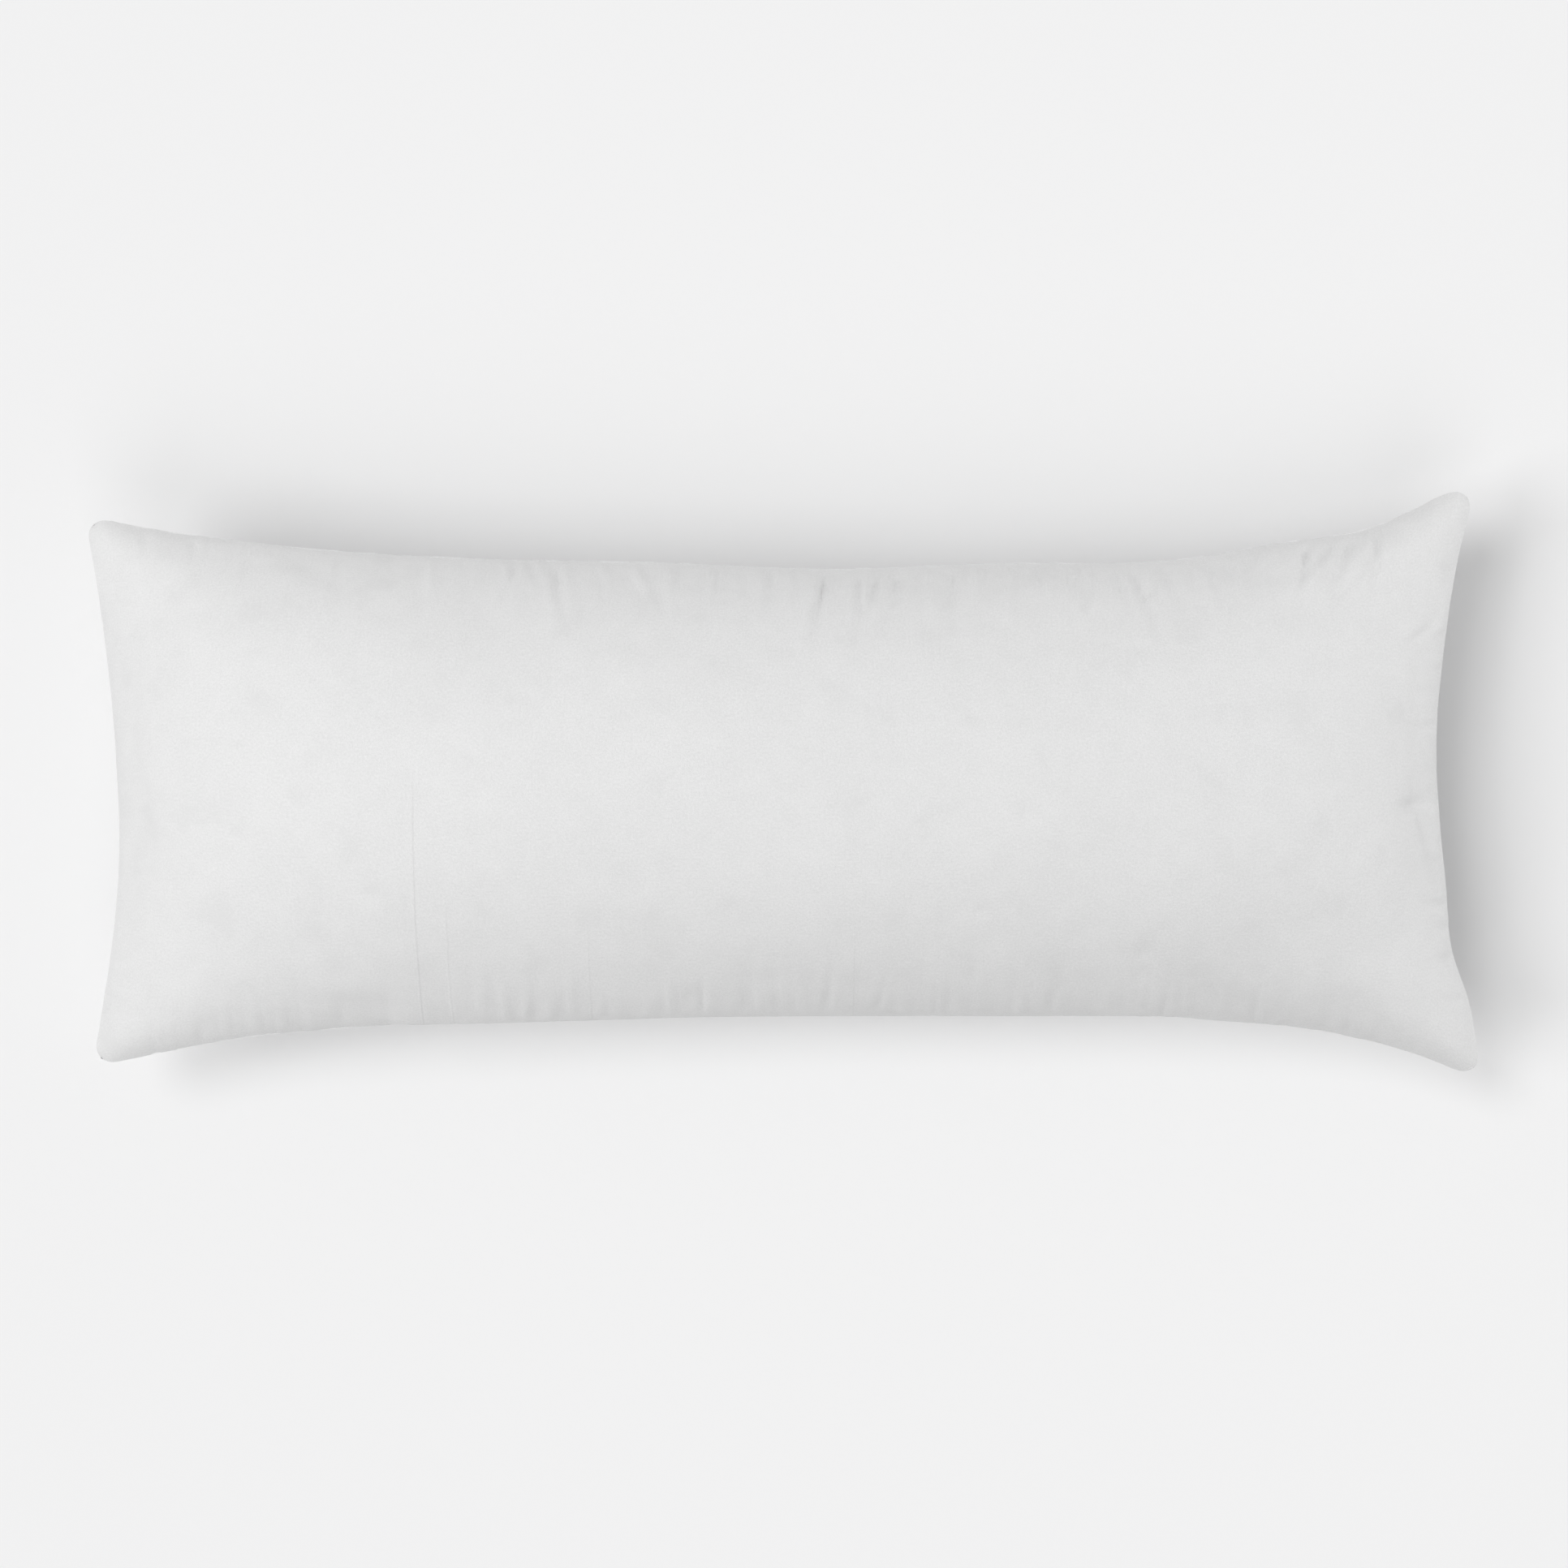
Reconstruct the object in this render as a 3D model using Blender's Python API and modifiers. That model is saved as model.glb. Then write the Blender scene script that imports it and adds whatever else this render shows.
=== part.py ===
"""Bed pillow of body length: a zipped cotton cover over a sewn, fibre-filled insert.

Metres, +Z up. The pillow lies flat with its length along X. The origin is the point of the
resting plane under the middle of the pillow's box, and the zip is in the -Y long side.
"""

import math

import bmesh
import bpy
import numpy as np
from mathutils import Matrix

# ---- driving dimensions ----------------------------------------------------------------
THICKNESS = 0.200            # resting plane to crown
SEAM_HEIGHT = 0.092          # the widest line of the section, where the panels meet
HALF_LENGTH = 0.593          # half the distance between the ears' tips
HALF_WIDTH = 0.225           # about half the width, used to turn an inset into a fraction
PLATEAU = 0.44               # middle share of the length where the section is constant
END_POWER = 2.6              # how long the section stays full towards the ends
CROWN_POWER = 1.45           # above 1, the upper face slopes more gently towards the seam
FLATTENING = 1.22            # how far the underside would sink before the plane flattens it

# The seam in plan: ear tips and the points that each bowed side needs (x, y).
LOWER_SIDE = ((-0.587, -0.240), (-0.500, -0.2215), (-0.390, -0.2080), (-0.265, -0.1985),
              (0.265, -0.1985), (0.400, -0.2035), (0.500, -0.2170), (0.593, -0.2495))
UPPER_SIDE = ((-0.593, 0.227), (-0.490, 0.2090), (-0.330, 0.1950), (-0.150, 0.1880),
              (0.050, 0.1830), (0.220, 0.1875), (0.360, 0.1940), (0.480, 0.2140),
              (0.588, 0.2495))
LEFT_SIDE = ((-0.587, -0.240), (-0.5765, -0.175), (-0.5665, -0.080), (-0.567, 0.020),
             (-0.577, 0.120), (-0.593, 0.227))
RIGHT_SIDE = ((0.593, -0.2495), (0.5720, -0.155), (0.5590, -0.050), (0.5550, 0.045),
              (0.5640, 0.155), (0.588, 0.2495))

# Cloth and insert: (plan inset, depth) of each skin from the cover's outer surface.
COVER_OUTER = (0.0, 0.0)
COVER_INNER = (0.0013, 0.0011)
TICKING_OUTER = (0.0125, 0.0024)
TICKING_INNER = (0.0138, 0.0034)
FILL_OUTER = (0.0150, 0.0042)
SEAM_GAP = 0.0014            # between the two panels' edges, where the thread runs
THREAD_RADIUS = 0.00035

# Zip: a straight, flat band in the -Y side, just below the widest line.
ZIP_HALF = 0.224             # half the opened seam
ZIP_RUN_OUT = 0.030          # flat band past each end of the opening
ZIP_FADE = 0.120             # over which the band eases back into the plain seam
ZIP_CENTRE_ANGLE = 9.0       # degrees below the widest line
ZIP_BAND_ANGLE = 8.5         # degrees of section above and below the lips that lie flat
SEAM_BAND_ANGLE = 1.5        # the same where there is only the seam
LIP_GAP = 0.0026             # slot between the panels' lips
CLEAR = 0.0004               # running gap between zip pieces
TAPE_HALF = 0.2225
TAPE_WIDTH = 0.0120
TAPE_OUT = (-0.0023, -0.0017)    # behind the cover's outer surface
COIL_HALF = 0.2170
COIL_WIDTH = 0.0022
COIL_OUT = (-0.0043, -0.0026)
STITCH_FROM_SLOT = 0.0080
STOP_LENGTH = 0.0030
EDGE_ROUND = 0.0003

# Slider and pull, in the zip's own axes.
SLIDER_LENGTH = 0.0090
SLIDER_WIDTH = 0.0078
SLIDER_PLATE = 0.0010
SLIDER_STEM = 0.0010         # thickness of the fin that passes the slots
SLIDER_STEM_LENGTH = 0.0012
BAR_RADIUS = 0.0006
BAR_HALF = 0.0029            # half the length of the bar between the two stems
BAR_OUT = 0.0026             # bar's axis in front of the lips
TRAVEL = 0.420
EYE_CLEARANCE = 0.0004
EYE_WALL = 0.0009
EYE_LENGTH = 0.0030
PULL_LENGTH = 0.0200
PULL_WIDTH = 0.0062
PULL_THICKNESS = 0.0009
PULL_TAPER = 0.72            # width at the neck over width at the free end
PULL_ROUND = 0.0016
PULL_ROUND_STEPS = 4
PULL_TOP = 0.0050            # plate's upper edge below the bar's axis, before its shoulder
NECK_THICKNESS = 0.00081
NECK_LAP = 0.0010            # how far the neck overlaps the plate
NECK_INTO_EYE = 0.00054      # and the eye's wall
EYE_OVERHANG = 0.0001        # eye's ends past the neck's sides

CLOSING_HALF = 0.090         # half the insert's hand-sewn filling gap, in its +Y seam
CLOSING_SHORT = 0.002        # hand stitch's ends short of the seam thread's
CLOSING_SPANS = 6

COLUMNS_MIDDLE = 6           # panel quads along the straight stretch with the zip
COLUMNS_END = 10             # panel quads from there to each end seam
ROWS = 10                    # panel quads across, before the zip band's own row
THREAD_SIDES = 1             # bevel resolution of a thread
HOLE_SIDES = 16              # sides of the bar and of the eye's hole
EYE_SIDES = 20
SHARP_ANGLE = 30.0           # degrees between faces that makes an edge sharp
HALVINGS = 40                # steps of the search for a point on a side
WELD = 0.00005               # verts closer than this are one


# ---- scene housekeeping ----------------------------------------------------------------
def clear_scene():
    """Remove every object that the startup file holds."""
    for thing in list(bpy.data.objects):
        bpy.data.objects.remove(thing, do_unlink=True)


def new_collection(name):
    """Make a collection under the scene and return it."""
    collection = bpy.data.collections.new(name)
    bpy.context.scene.collection.children.link(collection)
    return collection


def material(name, colour, roughness, metallic=0.0):
    """A plain Principled material."""
    made = bpy.data.materials.new(name)
    made.use_nodes = True
    shader = made.node_tree.nodes["Principled BSDF"]
    shader.inputs["Base Color"].default_value = (*colour, 1.0)
    shader.inputs["Roughness"].default_value = roughness
    shader.inputs["Metallic"].default_value = metallic
    return made


def add_object(name, fill_mesh, finish, parent=None, location=(0.0, 0.0, 0.0)):
    """Fill a mesh with a bmesh function, link it, place it and shade it smooth."""
    mesh = bpy.data.meshes.new(name)
    bm = bmesh.new()
    fill_mesh(bm)
    bmesh.ops.recalc_face_normals(bm, faces=bm.faces)
    if bm.calc_volume(signed=True) < 0.0:
        bmesh.ops.reverse_faces(bm, faces=bm.faces)
    bm.to_mesh(mesh)
    bm.free()
    mesh.materials.append(finish)
    mesh.shade_smooth()
    mesh.set_sharp_from_angle(angle=math.radians(SHARP_ANGLE))
    made = bpy.data.objects.new(name, mesh)
    parts.objects.link(made)
    made.parent = parent
    made.location = location
    return made


def blend(start, end, share):
    """Straight-line blend of numbers or vectors."""
    return start + (end - start) * share


def smooth_step(share):
    """Ease from 0 to 1 with level ends."""
    share = min(max(share, 0.0), 1.0)
    return share * share * (3.0 - 2.0 * share)


# ---- the pillow's form -----------------------------------------------------------------
def tangents(points):
    """Tangents that never overshoot: zero wherever a coordinate turns or runs level."""
    steps = np.diff(points, axis=0)
    inner = np.where(steps[:-1] * steps[1:] > 0.0, 0.5 * (steps[:-1] + steps[1:]), 0.0)
    limit = 2.0 * np.minimum(abs(steps[:-1]), abs(steps[1:]))
    inner = np.clip(inner, -limit, limit)
    return np.vstack((steps[:1], inner, steps[-1:]))


def side_point(points, axis, value):
    """The point of a side, a smooth curve through points, where one coordinate has a value."""
    points = np.array(points)
    slopes = tangents(points)
    span = int(np.clip(np.searchsorted(points[:, axis], value) - 1, 0, len(points) - 2))
    low, high = 0.0, 1.0
    for _ in range(HALVINGS):
        t = 0.5 * (low + high)
        point = (points[span] * (1.0 + 2.0 * t) * (1.0 - t) ** 2
                 + slopes[span] * t * (1.0 - t) ** 2
                 + points[span + 1] * t * t * (3.0 - 2.0 * t)
                 + slopes[span + 1] * t * t * (t - 1.0))
        if point[axis] < value:
            low = t
        else:
            high = t
    return point


def plan(u, v):
    """Plan position for u, v in -1..1: a Coons patch over the four bowed sides."""
    s, t = 0.5 * (u + 1.0), 0.5 * (v + 1.0)
    low_left, low_right = np.array(LOWER_SIDE[0]), np.array(LOWER_SIDE[-1])
    up_left, up_right = np.array(UPPER_SIDE[0]), np.array(UPPER_SIDE[-1])
    lower = side_point(LOWER_SIDE, 0, blend(low_left[0], low_right[0], s))
    upper = side_point(UPPER_SIDE, 0, blend(up_left[0], up_right[0], s))
    left = side_point(LEFT_SIDE, 1, blend(low_left[1], up_left[1], t))
    right = side_point(RIGHT_SIDE, 1, blend(low_right[1], up_right[1], t))
    corners = blend(blend(low_left, low_right, s), blend(up_left, up_right, s), t)
    return blend(lower, upper, t) + blend(left, right, s) - corners


def fullness(u):
    """Share of the full section height at u: 1 along the middle, closing at the ends."""
    beyond = max(0.0, (abs(u) - PLATEAU) / (1.0 - PLATEAU))
    return math.sqrt(max(0.0, 1.0 - beyond ** END_POWER))


def form(u, angle, skin, lift=0.0):
    """A point of one skin. The angle, in degrees, runs from 0 at the +Y seam over 90 at
    the crown and 180 at the -Y seam to 270 under the middle. A lift raises the seam."""
    inset, depth = skin
    across = math.cos(math.radians(angle))
    rise = math.sin(math.radians(angle)) * fullness(u)
    x, y = plan(u * (1.0 - inset / HALF_LENGTH), across * (1.0 - inset / HALF_WIDTH))
    seam = SEAM_HEIGHT + lift * (1.0 - abs(rise))
    if rise >= 0.0:
        return np.array((x, y, seam + (THICKNESS - SEAM_HEIGHT - depth) * rise ** CROWN_POWER))
    sunk = seam + FLATTENING * (SEAM_HEIGHT - depth) * rise
    return np.array((x, y, max(depth, sunk)))


def zip_share(u):
    """1 along the zip's straight stretch, easing to 0 further out on the -Y seam."""
    beyond = abs(u) * HALF_LENGTH - ZIP_HALF - ZIP_RUN_OUT
    return 1.0 - smooth_step(beyond / ZIP_FADE)


def band_angles(share):
    """The section angle of the -Y opening, and how far its flat band reaches either way."""
    return 180.0 + ZIP_CENTRE_ANGLE * share, blend(SEAM_BAND_ANGLE, ZIP_BAND_ANGLE, share)


def band_point(u, turn, skin, share, lift=0.0):
    """A point of the flat band on the -Y side; turn is -1 at its upper edge, 0 at the lips
    and 1 at its lower edge."""
    centre, spread = band_angles(share)
    above = form(u, centre - spread, skin, lift)
    below = form(u, centre + spread, skin, lift)
    return 0.5 * (above + below) + 0.5 * turn * (below - above)


def zip_frame():
    """The middle of the zip's lips, the unit vector up its band, and the band's tilt."""
    middle = band_point(0.0, 0.0, COVER_OUTER, 1.0)
    up = band_point(0.0, -1.0, COVER_OUTER, 1.0) - middle
    up = up / np.linalg.norm(up)
    return middle, up, math.atan2(up[2], up[1])


def section(u, side, skin, zipped, gap=SEAM_GAP):
    """One panel's section at u, from its +Y edge to its -Y edge. side is 1 for the top
    panel and -1 for the bottom panel. Every skin shares the cover's rows, so that nested
    skins keep their distance, and only the cover ends in the zip's flat band."""
    share = zip_share(u)
    centre, spread = band_angles(share)
    start = 0.0 if side > 0 else 360.0
    end = centre - side * spread
    lift = side * 0.5 * gap
    angles = [blend(start, end, k / ROWS) for k in range(ROWS)]
    rows = [form(u, angle, skin, lift) for angle in angles]
    if zipped:
        band_lift = lift * (1.0 - share)
        lip = side * 0.5 * LIP_GAP * share * zip_frame()[1]
        rows.append(band_point(u, -side, skin, share, band_lift))
        rows.append(band_point(u, 0.0, skin, share, band_lift) + lip)
    else:
        rows.append(form(u, 0.5 * (angles[-1] + 180.0), skin, lift))
        rows.append(form(u, 180.0, skin, lift))
    return rows


def column_values():
    """The u values of the columns, closer together towards the end seams."""
    middle = (ZIP_HALF + ZIP_RUN_OUT) / HALF_LENGTH
    inner = [middle * (2.0 * k / COLUMNS_MIDDLE - 1.0) for k in range(COLUMNS_MIDDLE + 1)]
    outer = [blend(middle, 1.0, math.sin(0.5 * math.pi * k / COLUMNS_END))
             for k in range(1, COLUMNS_END + 1)]
    return [-value for value in reversed(outer)] + inner + outer


def add_grid(bm, sections):
    """A grid whose columns follow a list of sections; returns its verts."""
    rows = len(sections[0])
    made = bmesh.ops.create_grid(bm, x_segments=len(sections) - 1, y_segments=rows - 1, size=1.0)
    verts = sorted(made["verts"], key=lambda vert: (round(vert.co.x, 4), round(vert.co.y, 4)))
    for i, points in enumerate(sections):
        for j, point in enumerate(points):
            verts[i * rows + j].co = point
    return verts


def panel(side, outer, inner, zipped):
    """A cloth panel: an outer and an inner skin, joined by a rim along their edges."""
    def fill(bm):
        skins = [add_grid(bm, [section(u, side, skin, zipped) for u in column_values()])
                 for skin in (outer, inner)]
        partner = dict(zip(*skins))
        rim = [edge for edge in bm.edges if edge.is_boundary and edge.verts[0] in partner]
        for edge in rim:
            first, second = edge.verts
            bm.faces.new((first, second, partner[second], partner[first]))
    return fill


def filling_body(bm):
    """The filling: an upper and a lower grid welded along the insert's seam."""
    for side in (1, -1):
        add_grid(bm, [section(u, side, FILL_OUTER, False, gap=0.0) for u in column_values()])
    bmesh.ops.remove_doubles(bm, verts=bm.verts, dist=WELD)


# ---- threads ---------------------------------------------------------------------------
def seam_route(inset, zipped):
    """Points round the seam, starting and ending on the opened stretch's two ends."""
    skin = (inset, 0.0)
    columns = column_values()
    across = [math.cos(math.pi * k / ROWS) for k in range(1, ROWS)]
    if zipped:
        lower = [u for u in columns if u * HALF_LENGTH > ZIP_HALF]
        route = [band_point(u, 0.0, skin, zip_share(u)) for u in lower]
        route += [form(1.0, math.degrees(math.acos(v)), skin) for v in reversed(across)]
        route += [form(u, 0.0, skin) for u in reversed(columns)]
        route += [form(-1.0, math.degrees(math.acos(v)), skin) for v in across]
        route += [band_point(-u, 0.0, skin, zip_share(u)) for u in reversed(lower)]
        return route
    upper = [u for u in columns if u * HALF_LENGTH > CLOSING_HALF]
    route = [form(-u, 0.0, skin) for u in upper]
    route += [form(-1.0, math.degrees(math.acos(v)), skin) for v in across]
    route += [form(u, 180.0, skin) for u in columns]
    route += [form(1.0, math.degrees(math.acos(v)), skin) for v in reversed(across)]
    route += [form(u, 0.0, skin) for u in reversed(upper)]
    return route


def closing_route(inset):
    """Points of the hand-sewn stitch that closes the insert, between its seam's ends."""
    span = (CLOSING_HALF - CLOSING_SHORT) / HALF_LENGTH
    places = [span * (2.0 * k / CLOSING_SPANS - 1.0) for k in range(CLOSING_SPANS + 1)]
    return [form(u, 0.0, (inset, 0.0)) for u in places]


def add_thread(name, route, radius, finish):
    """A thread along a route: a bevelled poly curve with filled caps."""
    curve = bpy.data.curves.new(name, "CURVE")
    curve.dimensions = "3D"
    curve.bevel_depth = radius
    curve.bevel_resolution = THREAD_SIDES
    curve.use_fill_caps = True
    spline = curve.splines.new("POLY")
    spline.points.add(len(route) - 1)
    for spot, point in zip(spline.points, route):
        spot.co = (*point, 1.0)
    curve.materials.append(finish)
    made = bpy.data.objects.new(name, curve)
    parts.objects.link(made)
    return made


# ---- zip -------------------------------------------------------------------------------
def add_box(bm, low, high):
    """A box between two corners; returns its verts."""
    verts = bmesh.ops.create_cube(bm, size=1.0)["verts"]
    low, high = np.array(low), np.array(high)
    for vert in verts:
        vert.co = low + (np.array(vert.co) + 0.5) * (high - low)
    return verts


def strip(along, across, out):
    """A straight bar in the zip's axes, from its three (low, high) spans."""
    low, high = zip(along, across, out)
    return lambda bm: add_box(bm, low, high)


def half_span(low, high, side):
    """A span on the upper (side 1) or the lower (side -1) half of the zip."""
    return (low, high) if side > 0 else (-high, -low)


def add_rod(bm, radius, half_length, out, sides):
    """A round rod along X, at a height above the lips."""
    turn = Matrix.Rotation(math.pi / 2, 3, "Y")
    verts = bmesh.ops.create_cone(bm, cap_ends=True, segments=sides, radius1=radius, radius2=radius,
                                  depth=2.0 * half_length)["verts"]
    bmesh.ops.rotate(bm, verts=verts, cent=(0.0, 0.0, 0.0), matrix=turn)
    bmesh.ops.translate(bm, verts=verts, vec=(0.0, 0.0, out))


def round_edges(piece):
    """A small round on every edge of a piece."""
    rounding = piece.modifiers.new("rounded", "BEVEL")
    rounding.width = EDGE_ROUND
    rounding.segments = 2


def combine(base, name, fill_mesh, operation="UNION"):
    """Join a tool shape to base, or cut it out; the tool stays as a hidden wire."""
    tool = add_object(name, fill_mesh, base.data.materials[0], base.parent)
    parts.objects.unlink(tool)
    cutters.objects.link(tool)
    tool.hide_render = True
    tool.display_type = "WIRE"
    boolean = base.modifiers.new(name, "BOOLEAN")
    boolean.operation = operation
    boolean.solver = "EXACT"
    boolean.object = tool


def add_zip_half(half, side):
    """The tape, the coil and the stitch row of the upper or the lower half."""
    edge = 0.5 * SLIDER_STEM + CLEAR
    tape = half_span(edge, edge + TAPE_WIDTH, side)
    along = (-TAPE_HALF, TAPE_HALF)
    add_object("zipper_tape_" + half, strip(along, tape, TAPE_OUT), tape_cloth, zip_axes)
    coil = half_span(edge, edge + COIL_WIDTH, side)
    wound = (-COIL_HALF, COIL_HALF)
    round_edges(add_object("zipper_coil_" + half, strip(wound, coil, COIL_OUT), nylon, zip_axes))
    row = half_span(STITCH_FROM_SLOT, STITCH_FROM_SLOT + 2.0 * THREAD_RADIUS, side)
    behind = TAPE_OUT[0] - CLEAR
    row_out = (behind - 2.0 * THREAD_RADIUS, behind)
    add_object("zipper_stitching_" + half, strip(along, row, row_out), sewing_thread, zip_axes)


def add_stop(name, end):
    """The block across both coils at the +X (end 1) or the -X (end -1) end."""
    near = COIL_HALF + CLEAR
    reach = 0.5 * SLIDER_STEM + CLEAR + COIL_WIDTH
    along = half_span(near, near + STOP_LENGTH, end)
    round_edges(add_object(name, strip(along, (-reach, reach), COIL_OUT), nylon, zip_axes))


def add_slider():
    """A plate behind the coils, with two stems that carry a bar in front of the lips."""
    back = COIL_OUT[0] - CLEAR
    along = (-0.5 * SLIDER_LENGTH, 0.5 * SLIDER_LENGTH)
    across = (-0.5 * SLIDER_WIDTH, 0.5 * SLIDER_WIDTH)
    thin = (back - SLIDER_PLATE, back)
    plate = add_object("zipper_slider", strip(along, across, thin), metal, slider_axes)
    round_edges(plate)
    bar_reach = BAR_HALF + 0.5 * SLIDER_STEM_LENGTH + CLEAR
    combine(plate, "bar_tool", lambda bm: add_rod(bm, BAR_RADIUS, bar_reach, BAR_OUT, HOLE_SIDES))
    for end, place in (("front", BAR_HALF), ("rear", -BAR_HALF)):
        length = (place - 0.5 * SLIDER_STEM_LENGTH, place + 0.5 * SLIDER_STEM_LENGTH)
        thickness = (-0.5 * SLIDER_STEM, 0.5 * SLIDER_STEM)
        height = (back - 0.5 * SLIDER_PLATE, BAR_OUT)
        combine(plate, end + "_stem_tool", strip(length, thickness, height))


def pull_plate(bm):
    """The pull's plate, narrower at its neck, with rounded corners."""
    top = -PULL_TOP
    verts = add_box(bm, (-0.5 * PULL_WIDTH, -0.5 * PULL_THICKNESS, -PULL_LENGTH),
                    (0.5 * PULL_WIDTH, 0.5 * PULL_THICKNESS, top + 2.0 * EYE_WALL))
    for vert in verts:
        if vert.co.z > top:
            vert.co.x *= PULL_TAPER
    across = [edge for edge in bm.edges if abs(edge.verts[0].co.y - edge.verts[1].co.y) > CLEAR]
    bmesh.ops.bevel(bm, geom=across, offset=PULL_ROUND, segments=PULL_ROUND_STEPS, affect="EDGES",
                    profile=0.5)


def add_pull():
    """A plate that hangs from a rolled eye round the slider's bar."""
    eye_hole = BAR_RADIUS + EYE_CLEARANCE
    eye_radius = eye_hole + EYE_WALL
    eye_half = 0.5 * EYE_LENGTH + EYE_OVERHANG
    neck = strip((-0.5 * EYE_LENGTH, 0.5 * EYE_LENGTH), (-0.5 * NECK_THICKNESS, 0.5 * NECK_THICKNESS),
                 (-PULL_TOP - NECK_LAP, -eye_radius + NECK_INTO_EYE))
    pull = add_object("zipper_pull", pull_plate, metal, pull_axes)
    combine(pull, "neck_tool", neck)
    combine(pull, "eye_tool", lambda bm: add_rod(bm, eye_radius, eye_half, 0.0, EYE_SIDES))
    combine(pull, "eye_hole_tool", lambda bm: add_rod(bm, eye_hole, EYE_LENGTH, 0.0, HOLE_SIDES),
            "DIFFERENCE")


def new_axes(name, parent, location, rotation):
    """An empty that holds a joint's or a group's axes."""
    made = bpy.data.objects.new(name, None)
    made.empty_display_size = 0.01
    parts.objects.link(made)
    made.parent = parent
    made.location = location
    made.rotation_euler = rotation
    return made


# ---- assembly --------------------------------------------------------------------------
clear_scene()
parts = new_collection("bed_pillow")
cutters = new_collection("cutters")

cover_cotton = material("cover_cotton", (0.86, 0.86, 0.85), 0.85)
ticking = material("ticking", (0.82, 0.82, 0.80), 0.9)
fibre = material("polyester_fibre", (0.90, 0.90, 0.90), 0.95)
sewing_thread = material("sewing_thread", (0.88, 0.88, 0.87), 0.7)
tape_cloth = material("zip_tape", (0.85, 0.85, 0.84), 0.8)
nylon = material("zip_nylon", (0.87, 0.87, 0.86), 0.45)
metal = material("zip_metal", (0.70, 0.70, 0.71), 0.35, 1.0)

lips, _, tilt = zip_frame()
zip_axes = new_axes("zip_axes", None, lips, (tilt, 0.0, 0.0))
slider_axes = new_axes("slider_axes", zip_axes, (0.5 * TRAVEL, 0.0, 0.0), (0.0, 0.0, 0.0))
pull_axes = new_axes("pull_axes", slider_axes, (0.0, 0.0, BAR_OUT), (-tilt, 0.0, 0.0))

add_object("cover_top_panel", panel(1, COVER_OUTER, COVER_INNER, True), cover_cotton)
add_object("cover_bottom_panel", panel(-1, COVER_OUTER, COVER_INNER, True), cover_cotton)
add_thread("cover_seam_thread", seam_route(0.5 * COVER_INNER[0], True), THREAD_RADIUS, sewing_thread)
add_zip_half("upper", 1)
add_zip_half("lower", -1)
add_stop("zipper_top_stop", 1)
add_stop("zipper_bottom_stop", -1)
add_slider()
add_pull()

ticking_middle = 0.5 * (TICKING_OUTER[0] + TICKING_INNER[0])
add_object("insert_ticking_top", panel(1, TICKING_OUTER, TICKING_INNER, False), ticking)
add_object("insert_ticking_bottom", panel(-1, TICKING_OUTER, TICKING_INNER, False), ticking)
add_thread("insert_seam_thread", seam_route(ticking_middle, False), THREAD_RADIUS, sewing_thread)
add_thread("insert_closing_stitch", closing_route(ticking_middle), THREAD_RADIUS, sewing_thread)
add_object("filling", filling_body, fibre)
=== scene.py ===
"""Looks of the body-length bed pillow: cloth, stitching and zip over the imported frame.

The cover's two panels are inflated by a cloth simulation of the flat cut, drawn onto the
seam's outline, opened along the zip, and given puckers, dents and pressed folds. The insert
and its filling follow the same form, further in. Metres, +X along the pillow, +Z up.
"""

import math

import bpy
import numpy as np
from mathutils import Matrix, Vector, noise


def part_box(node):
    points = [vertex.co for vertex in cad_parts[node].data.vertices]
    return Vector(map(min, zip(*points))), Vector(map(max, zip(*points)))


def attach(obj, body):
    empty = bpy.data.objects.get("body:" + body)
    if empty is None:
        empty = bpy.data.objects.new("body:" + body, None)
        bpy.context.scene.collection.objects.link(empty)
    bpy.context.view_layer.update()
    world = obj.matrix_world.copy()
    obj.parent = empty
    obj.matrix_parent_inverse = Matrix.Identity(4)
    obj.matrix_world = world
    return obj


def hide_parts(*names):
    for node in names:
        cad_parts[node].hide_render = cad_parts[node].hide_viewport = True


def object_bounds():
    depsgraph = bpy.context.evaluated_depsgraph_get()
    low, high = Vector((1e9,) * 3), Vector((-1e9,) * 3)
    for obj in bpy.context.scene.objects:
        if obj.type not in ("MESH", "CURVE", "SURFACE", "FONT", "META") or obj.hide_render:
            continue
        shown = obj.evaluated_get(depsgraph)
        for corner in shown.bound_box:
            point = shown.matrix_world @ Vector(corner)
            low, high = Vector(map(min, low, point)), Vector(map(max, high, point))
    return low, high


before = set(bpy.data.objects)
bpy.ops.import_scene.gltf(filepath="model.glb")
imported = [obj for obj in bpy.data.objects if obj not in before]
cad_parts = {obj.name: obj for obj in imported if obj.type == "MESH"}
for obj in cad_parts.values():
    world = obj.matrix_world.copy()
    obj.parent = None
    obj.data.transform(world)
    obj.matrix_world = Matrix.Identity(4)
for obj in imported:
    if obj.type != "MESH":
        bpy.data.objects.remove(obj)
cad_box = [list(corner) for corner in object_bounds()]

# ---- driving dimensions ----
CUT = (1.219, 0.508)         # each cover panel laid flat, seam to seam
CUT_CORNER = 0.022           # radius of its corners
THICKNESS = cad_box[1][2] - cad_box[0][2]
SEAM_Z = 0.5 * (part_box("insert_closing_stitch")[0].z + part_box("insert_closing_stitch")[1].z)
FLATTENING = 1.22            # how far the underside would sink before the bed flattens it
RESTING_EASE = 0.008         # height over which it leaves the bed
CROWN_POWER = 1.45           # above 1, the upper face slopes more gently towards the seam
PLATEAU = 0.44               # middle share of the length where the section is constant
END_POWER = 2.6              # how long the section stays full towards the ends
END_STARTS, END_BLEND = 0.72, 0.20    # share of the length where folds turn to run across
FOLD_SHARE = 0.9             # how much of the simulated folds shows
FOLD_BLUR = 5.0              # cells; what is broader than this is form, not fold
SHIFT_BLUR = 4.0             # cells, along the seam, for the broad fit to the outline
SNAP_REACH = 0.025           # how far from the seam its last correction reaches
COVER_CLOTH = 0.0010         # thickness
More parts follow.
